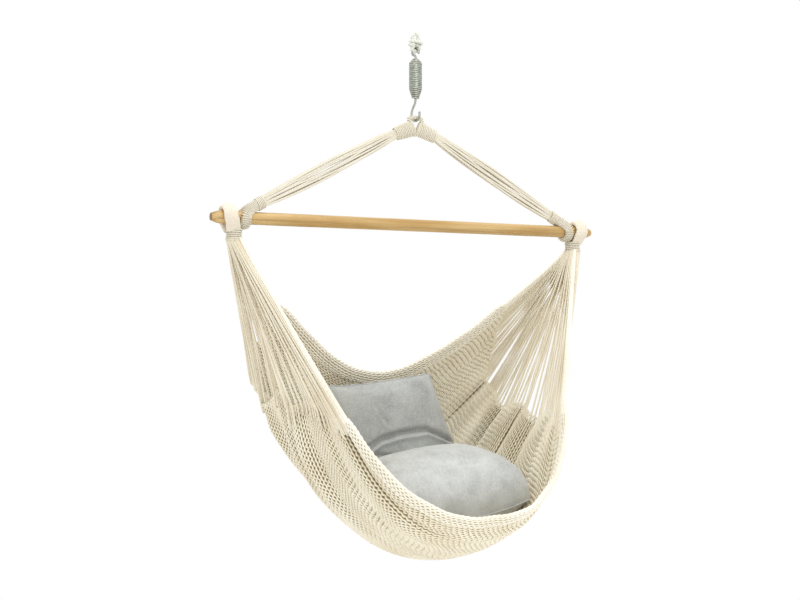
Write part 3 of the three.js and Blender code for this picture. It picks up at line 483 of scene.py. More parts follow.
# Sizes shared by the pieces; the same values shape the solids.
hang = {
    "rope": 11 * mm,
    "eyeWidth": 8 * mm,
    "eyeHeight": 10 * mm,
    "strandGap": 1 * mm,
    "hookTurn": math.radians(15),
    "wire": 6 * mm,
    "springTop": -58.388 * mm,
    "springBottom": -159.588 * mm,
    "eyeZ": -211.288 * mm,
    "clear": 0.3 * mm,
    "wideClear": 0.6 * mm,
}
bar = {"z": -488 * mm, "length": 1100 * mm, "radius": 15.5 * mm}
neck = {"x": 492 * mm, "top": -516 * mm, "bottom": -542 * mm, "wide": 18 * mm, "deep": 25 * mm}
neck["loopX"] = 507 * mm


# Ceiling rope: three laid strands round a closed loop, and its seizing

ropeLook = {
    "strand": 3.05 * mm,
    "strandPlace": 0.82,  # of the strand's own size, from the rope's middle
    "lay": 30 * mm,
    "wireZ": -32.088 * mm,
    "seizeTop": -11.5 * mm,
    "seizeLow": -28.788 * mm,
    "ease": 3.5 * mm,
    "seizing": 8.4 * mm,
    "seizingTop": -11.4 * mm,
    "seizingTurns": 1.16,
    "seizingPitch": 8.8 * mm,
    "seizingLay": 22 * mm,
    "seizingPly": 0.58,  # of half the seizing
    "tail": [(-1, 3, -6), (-3, 5, -11), (-4, 5, -15)],  # mm from the last turn
}


def ropeLoopPath():
    look = ropeLook
    half, wire = hang["rope"] / 2, hang["wire"] / 2
    eyeX = hang["eyeWidth"] / 2 + half
    strandX = (hang["rope"] + hang["strandGap"]) / 2
    bightX = wire / math.cos(hang["hookTurn"]) + half * math.tan(hang["hookTurn"]) + hang["clear"] + half
    wireZ = look["wireZ"]
    low = wireZ - wire - hang["clear"] - half
    side = [
        (0, half),
        (eyeX * 0.62, half - eyeX * 0.22),
        (eyeX, -hang["eyeHeight"] * 0.45),
        ((eyeX + strandX) / 2, -hang["eyeHeight"] * 0.9),
        (strandX, look["seizeTop"] - look["ease"]),
        (strandX, look["seizeLow"] + look["ease"]),
        ((bightX + strandX) / 2, look["seizeLow"] + 1 * mm),
        (bightX, wireZ),
        (bightX * 0.72, (wireZ + low * 2) / 3),
    ]
    points = [vec(x, 0, z) for x, z in side] + [vec(0, 0, low)]
    points += [vec(-x, 0, z) for x, z in side[:0:-1]]
    return evenly(smoothCurve(points, np.arange(400) / 400, True), 160, True)


def ceilingRope():
    look, strand = ropeLook, ropeLook["strand"]
    path = ropeLoopPath()[None]
    front = np.broadcast_to(vec(0, -1, 0), path.shape)
    lines, ways = plies(path, front, 3, strand * look["strandPlace"], look["lay"], True)
    rope = tubes(lines, ways, strand, strand, 10, True)
    piece("hangingRope", rope, ropeWhite, "ceiling_rope", ["hanging_rope"])

    half = look["seizing"] / 2
    turns = np.linspace(0.0, look["seizingTurns"], 60)
    deep = hang["rope"] / 2 + half + hang["wideClear"]
    wide = deep + (hang["rope"] + hang["strandGap"]) / 2
    z = look["seizingTop"] - half - turns * look["seizingPitch"]
    coil = np.stack([-np.cos(turns * fullTurn) * wide, -np.sin(turns * fullTurn) * deep, z], 1)
    tail = bezier(coil[-1], *[coil[-1] + vec(*step) * mm for step in look["tail"]], 12)[1:]
    path = evenly(np.vstack([coil, tail]), 110)[None]
    out = unit(path * vec(1, 1, 0) + vec(0, 0, 1e-6))
    lines, ways = plies(path, out, 3, half * 0.5, look["seizingLay"])
    thick = np.full(path.shape[1], half * look["seizingPly"])
    thick[-6:] *= np.linspace(1, 1.25, 6)  # the cut end frays
    wrap = tubes(lines, ways, thick, thick, 8)
    piece("ropeSeizing", wrap, ropeWhite, "ceiling_rope", ["rope_seizing"])


ceilingRope()


# Hooks and spring: round wire with softly bent shanks; the heads sit in the spring's cones

spring = {
    "wire": 4.4 * mm,
    "across": 35 * mm,
    "topAcross": 15.2 * mm,
    "lowAcross": 19.2 * mm,
    "pitch": 4.6 * mm,
    "start": 2 * mm,
    "turns": 22,
    "topTurns": 2.5,
    "lowTurns": 5,
}
# Shank and head are given in turns of the spring, counted from its top.
hooks = {
    "upper": {"body": "top_hook", "way": 1, "radius": 12 * mm, "arcZ": -44.088 * mm, "tip": 5 * mm,
              "neckZ": hang["springTop"] + 3 * mm, "shank": 1.6, "head": (1.1, 2.1)},
    "lower": {"body": "bottom_hook", "way": -1, "radius": 15 * mm, "arcZ": -204.588 * mm, "tip": 8 * mm,
              "neckZ": hang["springBottom"] - 3 * mm, "shank": 19.5, "head": (20.4, 18.6)},
}
headLook = {"narrowInset": 3.4 * mm, "broadInset": 4.9 * mm, "lip": 1.5 * mm}


def springRadius(turn):
    top, low, body = ((spring[name] - spring["wire"]) / 2 for name in ("topAcross", "lowAcross", "across"))
    left = spring["turns"] - turn
    upper = np.interp(turn, [0, spring["topTurns"]], [top, body])
    return np.where(left < spring["lowTurns"], np.interp(left, [0, spring["lowTurns"]], [low, body]), upper)


def springZ(turn):
    return hang["springTop"] - spring["start"] - turn * spring["pitch"]


def hookWire(look):
    front = vec(math.sin(hang["hookTurn"]), -math.cos(hang["hookTurn"]), 0)
    side = vec(math.cos(hang["hookTurn"]), math.sin(hang["hookTurn"]), 0)
    neckZ, arcZ, radius = look["neckZ"], look["arcZ"], look["radius"]

    def at(out, z):
        return front * out + vec(0, 0, z)

    middle, low = (neckZ + (arcZ - neckZ) * share for share in (0.5, 0.45))
    bend = bezier(at(0, neckZ), at(0, middle), at(-radius, low), at(-radius, arcZ), 20)
    turns = np.pi * (1 - np.linspace(0, 1, 33)[1:])
    arc = [at(radius * math.cos(t), arcZ + look["way"] * radius * math.sin(t)) for t in turns]
    end = at(radius, arcZ - look["way"] * look["tip"])
    path = evenly(np.vstack([[at(0, springZ(look["shank"]))], bend, arc, [end]]), 110)
    half = np.full(len(path), hang["wire"] / 2)
    half[-4:] *= (0.97, 0.9, 0.75, 0.35)  # the rounded tip
    return tubes(path[None], np.broadcast_to(side, path.shape)[None], half, half, 14)


def hookHead(fromTurn, toTurn):
    narrow = float(springRadius(fromTurn)) - headLook["narrowInset"]
    broad = float(springRadius(toTurn)) - headLook["broadInset"]
    start, end = springZ(fromTurn), springZ(toTurn)
    back = end - math.copysign(headLook["lip"], toTurn - fromTurn)
    profile = [(1e-5, start), (narrow, start), (broad, end), (broad, back), (1e-5, back)]
    return lathe(profile[::-1] if end < start else profile)


def springAndHooks():
    for name, look in hooks.items():
        shape = joinShapes([hookWire(look), hookHead(*look["head"])])
        piece(name + "Hook", shape, steel, look["body"], [name + "_hook"])

    turns = np.linspace(0, spring["turns"], spring["turns"] * 36 + 1)
    ways = np.stack([np.cos(turns * fullTurn), np.sin(turns * fullTurn), np.zeros_like(turns)], 1)
    path = ways * springRadius(turns)[:, None] + springZ(turns)[:, None] * vec(0, 0, 1)
    half = spring["wire"] / 2
    wound = tubes(path[None], ways[None], half * 0.8, half * 1.06, 10)
    coil = piece("springCoil", wound, steel, None, ["spring_coil"])
    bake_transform(coil)


springAndHooks()
print("rope, hooks and spring made")


# Apex: cords over the hook, whipped down both legs and tied across below it

apex = {
    "cord": 4.4 * mm,
    "pitch": 4.7 * mm,
    "ring": 3.9 * mm,
    "ringSide": [(13.68, -1.6), (19, -5), (10.45, -24.8)],  # x and z from the eye, mm
    "ringLow": -45,
    "tall": 19 * mm,
    "endTall": 15.5 * mm,
    "deep": 10.5 * mm,
    "legStart": (7, 0, -27),
    "legEnd": (58, 0, -46),
    "windingInset": 2.6 * mm,
    "coreInset": 1 * mm,
}


def apexPieces():
    look, cord, thick = apex, apex["cord"], apex["ring"]
    eye = vec(0, 0, hang["eyeZ"])
    down = look["ringSide"]
    corners = [(0, 0), *down, (0, look["ringLow"]), *[(-x, z) for x, z in down[::-1]]]
    ring = smoothCurve([eye + vec(x, 0, z) * mm for x, z in corners], np.arange(200) / 200, True)
    ring = evenly(ring, 120, True)
    front = np.broadcast_to(vec(0, -1, 0), ring.shape)
    shapes = [
        tubes(ring[None], front[None], thick * 0.8, thick * 0.8, 10, True),
        woundCord(ring, front, thick * 0.6, thick * 0.6, cord * 0.8, look["pitch"] * 0.8, 12, 0, True),
    ]
    start, end = (eye + vec(*look[name]) * mm for name in ("legStart", "legEnd"))
    share = np.linspace(0, 1, 24)[:, None]
    tall = np.interp(share[:, 0], [0, 0.3, 1], [look["tall"], look["tall"] * 0.97, look["endTall"]])
    deep = np.interp(share[:, 0], [0, 0.25, 1], [look["deep"] * 0.8, look["deep"], look["deep"]])
    for side in (-1, 1):
        path = (start * (1 - share) + end * share) * vec(side, 1, 1)
        front = np.broadcast_to(vec(0, -1, 0), path.shape)
        core = np.vstack([path[:1] * 1.3 - path[3:4] * 0.3, path[1:]])
        shapes.append(tubes(core[None], front[None], deep - look["coreInset"], tall - look["coreInset"], 16))
        sizes = deep - look["windingInset"], tall - look["windingInset"]
        shapes.append(woundCord(path, front, *sizes, cord, look["pitch"], 26, side))
    nodes = ["apex_eye", "left_apex_whipping", "right_apex_whipping"]
    piece("apexWhipping", joinShapes(shapes), cottonSling, "sling", nodes)


apexPieces()


# Suspension: a dozen laid cords a side, slack by different amounts, ending in a collar and a whipped
# loop that carries the bar.

sling = {
    "cords": 14,
    "cord": 5.4 * mm,
    "start": (55 * mm, -43.5 * mm),  # x, and z from the eye
    "end": (428 * mm, 36 * mm),  # x, and z from the bar
    "spread": 17 * mm,
    "endSpread": 7.5 * mm,
    "deep": 4.5 * mm,
    "endDeep": 3 * mm,
    "slack": 3 * mm,
    "sway": 2 * mm,
}
collarLook = {"from": (57 * mm, -45 * mm), "at": (426 * mm, 37 * mm), "deep": 11.5 * mm, "wide": 12.8 * mm,
              "cord": 3.6 * mm, "pitch": 3.9 * mm}
slingLoop = {"x": 468 * mm, "half": 5 * mm, "wide": 10.4 * mm, "start": 0.6 * mm, "straight": 22.5 * mm,
             "cord": 3.4 * mm, "pitch": 4.1 * mm}


def slingLines():
    start = vec(sling["start"][0], 0, hang["eyeZ"] + sling["start"][1])
    end = vec(sling["end"][0], 0, bar["z"] + sling["end"][1])
    upWay = np.cross(unit(end - start), vec(0, 1, 0))
    share = np.linspace(0, 1, 190)
    middle = np.sin(share * math.pi)
    opened = middle**0.6
    lines = []
    for k in range(sling["cords"]):
        row = (k % 2) * 2 - 1
        height = (k // 2) / (sling["cords"] / 2 - 1) * 2 - 1
        sag = dice.uniform(0.2, 1) * sling["slack"] * middle
        sway = dice.uniform(-1, 1) * sling["sway"] * np.sin(share * math.pi * dice.integers(1, 4))
        up = height * (sling["endSpread"] + (sling["spread"] - sling["endSpread"]) * opened) + sway
        deep = row * (sling["endDeep"] + (sling["deep"] - sling["endDeep"]) * opened)
        line = start + (end - start) * share[:, None]
        lines.append(line + upWay * up[:, None] + vec(0, 1, 0) * deep[:, None] - vec(0, 0, 1) * sag[:, None])
    return np.array(lines)


def slingLoopShape(collarAt, way):
    look, half = slingLoop, slingLoop["half"]
    bend = bar["radius"] + hang["wideClear"] + half
    top = collarAt + way * look["start"]
    low = vec(look["x"], -bend, bar["z"])
    frontTop = vec(top[0], -(half + hang["clear"]), top[2])
    aboveBar = vec(look["x"], -bend, bar["z"] + bar["radius"])
    leg = bezier(frontTop, frontTop + way * look["straight"], aboveBar, low, 24)[:-1]
    turns = np.pi + np.linspace(0, 1, 30) * np.pi
    under = np.stack([np.full(30, look["x"]), bend * np.cos(turns), bar["z"] + bend * np.sin(turns)], 1)
    path = evenly(np.vstack([leg, under, leg[::-1] * vec(1, -1, 1)]), 100)
    out = unit(path * vec(0, 1, 0) + vec(0, 0, 1) * np.minimum(path[:, 2:] - bar["z"], 0) + vec(0, 1e-6, 0))
    core = tubes(path[None], out[None], half * 0.82, look["wide"], 14)
    wound = woundCord(path, out, half - 1.5 * mm, 10.2 * mm, look["cord"], look["pitch"], 20)
    return joinShapes([core, wound])


def slingPieces():
    lines = slingLines()
    ways = np.broadcast_to(vec(0, 1, 0), lines.shape)
    cords = tubes(lines, ways, sling["cord"] / 2, sling["cord"] / 2, 8)
    for name, turned in bothSides:
        nodes = [f"{name}_suspension_cord_{k}" for k in range(1, 6)]
        piece(name + "SuspensionCords", turned(cords), cottonSling, "sling", nodes)

    look = collarLook
    start = vec(look["from"][0], 0, hang["eyeZ"] + look["from"][1])
    collarAt = vec(look["at"][0], 0, bar["z"] + look["at"][1])
    way = unit(collarAt - start)
    path = collarAt + way * np.linspace(-10, 9, 12)[:, None] * mm
    out = np.broadcast_to(vec(0, 1, 0), path.shape)
    collar = woundCord(path, out, look["deep"], look["wide"], look["cord"], look["pitch"], 20)
    loop = slingLoopShape(collarAt, way)
    for name, turned in bothSides:
        piece(name + "Collar", turned(collar), cottonSling, "sling", [name + "_collar"])
        piece(name + "SlingLoop", turned(loop), cottonSling, "sling", [name + "_sling_loop"])


slingPieces()
print("suspension made")


# Spreader bar: a turned dowel with a shoulder and tapered tips

barLook = {
    # radius and distance from the end, mm
    "tip": [(0.01, 0), (8.5, 0), (9.5, 1), (14, 14), (14.5, 16), (14.6, 19), (15.3, 21.5), (15.5, 23)],
    "handMade": 0.12 * mm,
    "tipLength": 60 * mm,
}


def barPiece():
    half = bar["length"] / 2
    tip = [(radius * mm, half - inward * mm) for radius, inward in barLook["tip"]]
    places = np.linspace(half - barLook["tipLength"], barLook["tipLength"] - half, 24)
    middle = [(bar["radius"] + barLook["handMade"] * math.sin(k * 1.7), x) for k, x in enumerate(places)]
    profile = tip + middle + [(radius, -x) for radius, x in tip[::-1]]
    points, quads, uvs = lathe(profile[::-1], 48)
    turned = np.stack([points[:, 2], points[:, 0], points[:, 1] + bar["z"]], 1)
    piece("spreaderBar", (turned, quads, uvs), wood, "bar", ["spreader_bar"])


barPiece()


# Seat loops over the bar, straps of the seat's own cords, and the bindings that gather them

seatLoop = {"half": 8.5 * mm, "wide": 15.5 * mm, "cords": 26, "cordHalf": 2.1 * mm, "wrap": math.radians(30),
            "outward": 5.25 * mm, "inNeck": 3 * mm}
binding = {"cord": 4.6 * mm, "pitch": 5.0 * mm, "waist": 0.12}


def seatLoopPieces():
    look, half, wrap = seatLoop, seatLoop["half"], seatLoop["wrap"]
    bend = bar["radius"] + hang["wideClear"] + half
    turns = -wrap + np.linspace(0, 1, 60) * (math.pi + 2 * wrap)
    lean = np.clip((np.sin(turns) + math.sin(wrap)) / math.sin(wrap), 0, 1)
    neckX = neck["x"] + seatLoop["outward"]
    x = (neckX + neck["loopX"]) / 2 + (neck["loopX"] - neckX) / 2 * lean
    arc = np.stack([x, -bend * np.cos(turns), bar["z"] + bend * np.sin(turns)], 1)
    inward = (bar["z"] - neck["top"] - hang["clear"] - bend * math.sin(wrap)) * math.tan(wrap)
    endY = bend * math.cos(wrap) - inward
    ends = [vec(neckX, side * endY, neck["top"] - seatLoop["inNeck"]) for side in (-1, 1)]
    path = evenly(np.vstack([[ends[0]], arc, [ends[1]]]), 120)
    out = unit(path * vec(0, 1, 1) - vec(0, 0, bar["z"]))
    loop = strapOfCords(path, out, half - 1.7 * mm, look["wide"], look["cords"], look["cordHalf"])

    core = np.linspace(vec(neck["x"], 0, neck["top"]), vec(neck["x"], 0, neck["bottom"]), 20)
    out = np.broadcast_to(vec(1, 0, 0), core.shape)
    waist = 1 - binding["waist"] * np.sin(np.linspace(0, math.pi, 20))
    wide, deep = (neck[name] * waist for name in ("wide", "deep"))
    inner = (size * 0.92 - 0.6 * mm for size in (wide, deep))
    wound = woundCord(core, out, *inner, binding["cord"], binding["pitch"], 26)
    bound = joinShapes([tubes(core[None], out[None], wide * 0.9, deep * 0.9, 24), wound])
    for name, turned in bothSides:
        piece(name + "SeatLoop", turned(loop), cottonBand, "seat", [name + "_seat_loop"])
        piece(name + "NeckBinding", turned(bound), cottonSling, "seat", [name + "_neck_binding"])


seatLoopPieces()
print("bar, loops and bindings made")


# Seat net: one surface through three sections, its pleats, and the strands woven on it

net = {
    "reach": 400 * mm,
    "drop": 845 * mm,
    "halfWidth": 350 * mm,
    "frontHalfWidth": 302 * mm,
    "halfway": 0.514,
    "setBack": 15 * mm,
    "cordSpacing": 6.3 * mm,
    "spaces": (3 * mm, 16 * mm),  # the least and the most room that a strand takes
    "strandThin": 1.9 * mm,
    "stitch": 14 * mm,
    "stepsPerStitch": 6,
    "phaseStep": math.pi + 0.45,  # from one strand's sway to the next one's
    # shares of the room between two strands
    "wide": 0.465,
    "sway": 0.165,
    "rise": 0.13,
    "loose": 0.4,
    "drifts": [(0.7, 90 * mm, 0.37), (0.5, 37 * mm, 0.9)],
    "wobble": 1.6 * mm,
    "swell": 14 * mm,
    # v, depth and half width of each pleat: valleys pushed away from the sitter at the gathered ends
    "pleats": [(0.10, 5, 0.018), (0.26, 27, 0.03), (0.35, 5, 0.018), (0.44, 33, 0.028), (0.565, 19.5, 0.022),
               (0.66, 30, 0.03), (0.78, 6, 0.018), (0.88, 6, 0.018)],
    # narrow creases of the same kind, on the right only
    "creases": [(0.262, 11, 0.005), (0.442, 6, 0.008), (0.565, 14, 0.005), (0.662, 11, 0.006)],
    # folds that run on nearly to the middle, under the front edge: valleys on the outside, ridges
    # where below 0
    "folds": [(0.915, 13, 0.022), (0.86, -3, 0.014), (0.80, 7, 0.018), (0.70, 5, 0.016)],
    # from the back edge to the front, as shares of the reach and the drop
    "sections": [
        [(0.52, 0.482), (0.6, 0.564), (0.63, 0.706), (0.538, 0.858), (0.3, 0.958),
         (0, 0.995), (-0.3, 0.994), (-0.575, 0.964), (-0.825, 0.905), (-0.936, 0.847)],
        [(0.434, 0.408), (0.538, 0.491), (0.57, 0.621), (0.5, 0.74), (0.37, 0.834),
         (0.125, 0.891), (-0.15, 0.899), (-0.45, 0.888), (-0.745, 0.858), (-0.881, 0.802)],
        [(0.256, 0.249), (0.375, 0.325), (0.5, 0.456), (0.425, 0.521), (0.275, 0.559),
         (0.075, 0.568), (-0.15, 0.576), (-0.375, 0.58), (-0.52, 0.579), (-0.596, 0.571)],
    ],
}


def smooth(low, high, value):
    t = np.clip((value - low) / (high - low), 0, 1)
    return t * t * (3 - 2 * t)


def section(shares, v):
    start, size = vec(0, net["setBack"], bar["z"]), vec(0, net["reach"], -net["drop"])
    return smoothCurve([start + size * vec(0, *share) for share in shares], v)


# u runs from -1 at the left end to 1, v from the back edge to the front edge.
def netPoints(u, v):
    u, v = np.broadcast_arrays(u, v)
    shape = u.shape
    u, v = u.ravel(), v.ravel()
    middle, halfway, end = (section(shares, v) for shares in net["sections"])
    square, fourth = net["halfway"] ** 2, net["halfway"] ** 4
    a = (halfway - middle - (end - middle) * fourth) / (square - fourth)
    b = end - middle - a
    points = middle + a * (u**2)[:, None] + b * (u**4)[:, None]
    points[:, 0] = u * (net["halfWidth"] + (net["frontHalfWidth"] - net["halfWidth"]) * smooth(0.6, 1, v))
    return points.reshape(shape + (3,))


def netNormals(u, v, step=0.01):
    alongU = netPoints(u + step, v) - netPoints(u - step, v)
    alongV = netPoints(u, np.minimum(v + step, 1)) - netPoints(u, np.maximum(v - step, 0))
    return unit(np.cross(alongV, alongU))


def valleys(places, v):
    return sum(deep * mm * np.exp(-(((v - at) / half) ** 2)) for at, deep, half in places)


def pleatDepth(u, v):
    side = np.abs(u)
    gathered = smooth(0.25, 1.0, side) ** 1.3 * (1 - 0.4 * smooth(0.9, 1.0, side))
    depth = net["swell"] * np.sqrt(np.sin(np.clip(v, 0, 1) * math.pi)) - valleys(net["pleats"], v)
    depth = depth - valleys(net["creases"], v) * smooth(0.0, 0.2, u)
    runOn, outside = smooth(0.05, 0.6, side), 1 - 1.5 * smooth(-0.1, 0.3, u)
    wobble = np.sin(u * 7.3 + v * 5.1) * np.sin(v * 17 - u * 3.1) + 0.6 * np.sin(u * 16.1 - v * 9.7 + 2)
    return gathered * depth + valleys(net["folds"], v) * runOn * outside + wobble * net["wobble"]


def netSurface(u, v, lift=0.0):
    return netPoints(u, v) + netNormals(u, v) * (pleatDepth(u, v) + lift)[..., None]


def strandShares():
    v = np.linspace(0, 1, 400)
    run = lengthsAlong(netPoints(np.zeros(400), v)[None])[0]
    spacing = net["cordSpacing"]
    return np.interp(np.linspace(spacing / 2, run[-1] - spacing / 2, int(round(run[-1] / spacing))), run, v)


# Neighbouring strands of the weave sway towards each other and apart once a stitch, the one above the
# other where they meet: that leaves the short slanting slits. Spaces gives the room between strands.
def wovenStrands(lines, ways, numbers, spaces, wide):
    run, numbers = lengthsAlong(lines), numbers[:, None]
    turn = run / net["stitch"] * fullTurn + numbers * net["phaseStep"]
    for share, length, step in net["drifts"]:
        turn = turn + share * np.sin(run / length + numbers * step)
    loose = np.sin(run / (23 * mm) + numbers * 1.7) * np.sin(run / (61 * mm) - numbers * 0.53)
    sway = (np.cos(turn) * spaces * (1 + net["loose"] * loose))[..., None]
    across = np.cross(tangentsOf(lines), ways)
    lines = lines + across * sway * net["sway"] + ways * sway * net["rise"]
    return tubes(lines, ways, net["strandThin"], spaces * wide, 5)


# Cords of the fan, as places along the gathered end: the right one opens into bunches, the left one is
# spread by the weight that leans on it.
fan = {
    "cord": 5.3 * mm,
    "bunches": {
        "left": [(0.015, 0.66, 42), (0.675, 0.775, 7), (0.79, 0.865, 5), (0.885, 0.985, 8)],
        "right": [(0.015, 0.265, 19), (0.30, 0.36, 6), (0.385, 0.605, 18), (0.635, 0.71, 7),
                  (0.735, 0.80, 6), (0.825, 0.985, 13)],
    },
    "bend": 9 * mm,
    "straight": 12 * mm,
    "bow": 1.5 * mm,
    "inNeck": 4 * mm,
    "neckHalf": 22 * mm,
    "neckInset": 3 * mm,
    "tail": {"left": 0.05, "right": 0.09},
    "higher": {"left": 0.07, "right": 0.0},
}


# Where the weave ends and the fan's cords start, as u on the right
def headerU(v, name="right"):
    return 1 - 0.016 * np.sin(v * 31) * np.sin(v * math.pi) + fan["higher"][name] * np.sin(v * math.pi)


def netPieces():
    v = strandShares()[:, None]
    count = len(v)
    longest = lengthsAlong(netPoints(np.linspace(-1, 1, 60)[None], v)).max()
    share = np.linspace(0, 1, int(longest / net["stitch"] * net["stepsPerStitch"]))[None]
    u = headerU(v) * share - headerU(v, "left") * (1 - share)
    lines = netSurface(u, v)
    across = np.gradient(lines, axis=0)
    ways = unit(np.cross(across, np.gradient(lines, axis=1)))
    spaces = np.linalg.norm(across, axis=-1).clip(*net["spaces"])
    # the slits open towards the gathered ends, and more on the right
    wide = net["wide"] * (1 - 0.13 * smooth(0.3, 0.9, np.abs(u)) - 0.05 * smooth(0.1, 0.5, u))
    for number, band in enumerate(np.array_split(np.arange(count), 10), 1):
        shape = wovenStrands(lines[band], ways[band], band, spaces[band], wide[band])
        piece(f"netCords{number:02d}", shape, cottonWeave, "seat", ["seat_net"] if number == 1 else [])
    print("net strands", count, "quads in a band", len(shape[1]))


netPieces()


# The ground of the net, between the turns of its cords: one sheet in a dark colour, painted shade where the
# slits show the inside of the weave
groundLook = {"inset": 0.02, "half": 0.5 * mm}


def netGround():
    inset = groundLook["inset"]
    u, v = np.meshgrid(np.linspace(0, 1, 150), np.linspace(0, 1, 180), indexing="ij")
    u = u * (headerU(v) - inset) - (1 - u) * (headerU(v, "left") - inset)
    surface, ways = netSurface(u, v), netNormals(u, v) * groundLook["half"]
    number = np.arange(u.size).reshape(u.shape)
    quads, rim = gridQuads(number), rimOf(number)
    after = np.roll(rim, -1)
    sides = np.stack([rim, after, after + u.size, rim + u.size], -1)
    points = np.concatenate([(surface + ways).reshape(-1, 3), (surface - ways).reshape(-1, 3)])
    quads = np.concatenate([quads[:, ::-1], quads + u.size, sides[:, ::-1]])
    return piece("netGround", (points, quads, np.zeros((len(quads), 4, 2))), paintedShadeCotton, "seat")


ground = netGround()


# Fans of laid cords from the necks to the net
def fanPieces():
    half = fan["cord"] / 2
    share = np.linspace(0, 1, 61)
    for name, turned in bothSides:
        v = np.concatenate([np.linspace(start, end, count) for start, end, count in fan["bunches"][name]])
        u = headerU(v, name) - 0.012
        low = netSurface(u, v, -1.5 * mm)
        out = unit(low - netSurface(u - 0.03, v, -1.5 * mm))
        # each cord runs on over the outside of the net for a way, and goes in
        ends = u - dice.uniform(0.3, 1, len(u)) * fan["tail"][name]
        tails = netSurface(np.linspace(u, ends, 13)[1:].T, v[:, None], np.linspace(-1.8, -3.2, 12) * mm)
        tails[:, -1] = netSurface(ends, v, 1 * mm)
        # the cords fill the neck's oval in five rows
        y = fan["neckHalf"] * (1 - 2 * v)
        wide = (neck["wide"] - fan["neckInset"]) * np.sqrt(1 - (y / neck["deep"]) ** 2)
        x = neck["x"] + (np.arange(len(v)) * 2 % 5 - 2) / 2 * wide
        top = np.stack([x, y, np.full(len(v), neck["bottom"] + fan["inNeck"])], 1)
        lines = []
        for k in range(len(low)):
            below, before = top[k] - vec(0, 0, fan["straight"]), low[k] + out[k] * fan["bend"]
            line = bezier(top[k], below, before, low[k], 60)
            bow = dice.uniform(-1, 1) * fan["bow"] * np.sin(share * math.pi)
            lines.append(np.vstack([line + bow[:, None] * vec(0, 1, 0), tails[k]]))
        lines = np.array(lines)
        cords = tubes(lines, np.broadcast_to(vec(1, 0, 0), lines.shape), half, half, 8)
        nodes = [f"{name}_net_cord_{k}" for k in range(1, 12)]
        piece(name + "NetCords", turned(cords), cotton, "seat", nodes)
        print(name, "fan quads", len(cords[1]))


fanPieces()
print("net and fans made")


# Rolled edges: the weave folded round on itself, and the cords that carry it on up to the necks

edges = {
    "back": {"v": 0.0, "width": 40 * mm, "overlap": 12 * mm, "strands": 16, "cords": 9},
    "front": {"v": 1.0, "width": 36 * mm, "overlap": 13 * mm, "strands": 14, "cords": 8},
    "thickness": 15 * mm,
    "strandWide": 0.445,
    "reach": 1.005,
    "closing": 30 * mm,
    "closed": 0.65,
    "neckHalf": 20 * mm,
    "neckInset": 8 * mm,
    "inNeck": 4 * mm,
    "straight": (40 * mm, 16 * mm),
}


def edgeCords(look, even, first, second, thin, wide):
    y = edges["neckHalf"] * (1 - 2 * look["v"])
    top = vec(neck["x"] - edges["neckInset"], y, neck["bottom"] + edges["inNeck"])
    start, way = even[-4], unit(even[-1] - even[-9])
    lower, upper = edges["straight"]
    line = bezier(start, start + way * lower, top - vec(0, 0, upper), top, 60)
    narrowing = 1 - 0.6 * np.linspace(0, 1, 61)[:, None]
    cords = []
    for k in range(look["cords"]):
        turn = k / look["cords"] * fullTurn
        offset = first[-1] * thin[-1] * 0.8 * math.cos(turn) + second[-1] * wide[-1] * 0.85 * math.sin(turn)
        cords.append(line + offset * narrowing)
    cords = np.array(cords)
    return tubes(cords, np.broadcast_to(vec(1, 0, 0), cords.shape), fan["cord"] / 2, fan["cord"] / 2, 8)


def edgePieces():
    u = np.linspace(-edges["reach"], edges["reach"], 260)
    for name in ("back", "front"):
        look = edges[name]
        v, half, strands = np.full(260, look["v"]), look["width"] / 2, look["strands"]
        along = netPoints(u + 0.01, v) - netPoints(u - 0.01, v)
        ways = netNormals(u, v)
        outward = unit(np.cross(unit(along), ways)) * (1 if look["v"] > 0 else -1)
        drift = (np.sin(u * 11.3 + v) + 0.6 * np.sin(u * 23.7 + 1.3))[:, None] * net["wobble"]
        centre = netPoints(u, v) + outward * (half - look["overlap"]) + ways * drift
        run = lengthsAlong(centre[None])[0]
        steps = int(run[-1] / net["stitch"] * net["stepsPerStitch"])
        even = evenly(centre, steps)
        wanted = np.linspace(0, run[-1], steps)
        ways = readAt(wanted, run, ways)
        first, second = squareWaysOf(even, ways)
        fromEnd = np.minimum(wanted, run[-1] - wanted) / edges["closing"]
        close = np.minimum(1, fromEnd * (1 - edges["closed"]) + edges["closed"])[:, None]
        thin = (edges["thickness"] / 2 - net["strandThin"]) * close
        wide = (half - net["strandThin"]) * close
        core = tubes(even[None], ways[None], thin[:, 0], wide[:, 0], 12)
        # the core is darker cotton: painted shade that shows through the slits of the roll
        piece(name + "EdgeCore", core, paintedShadeEdgeCore, "seat")
        lines, outs = [], []
        for k in range(strands):
            turn = k / strands * fullTurn + wanted[:, None] * 1.5
            line, out = onOval(even, first, second, thin, wide, turn)
            lines.append(line)
            outs.append(out)
        around = np.repeat(fullTurn * np.sqrt((thin**2 + wide**2) / 2).T / strands, strands, 0)
        numbers = np.arange(strands) * math.pi / net["phaseStep"]
        roll = wovenStrands(np.array(lines), np.array(outs), numbers, around, edges["strandWide"])
        cords = edgeCords(look, even, first, second, thin, wide)
        shape = joinShapes([roll, cords, mirrorX(cords)])
        # the roll and its cords are in the paler edge cotton: painted light from above
        piece(name + "EdgeRoll", shape, paintedLightEdgeCotton, "seat", [name + "_edge_cord"])


edgePieces()
print("rolled edges made")


# Cushions: linen covers filled by simulation, then pressed back by the net they lie on

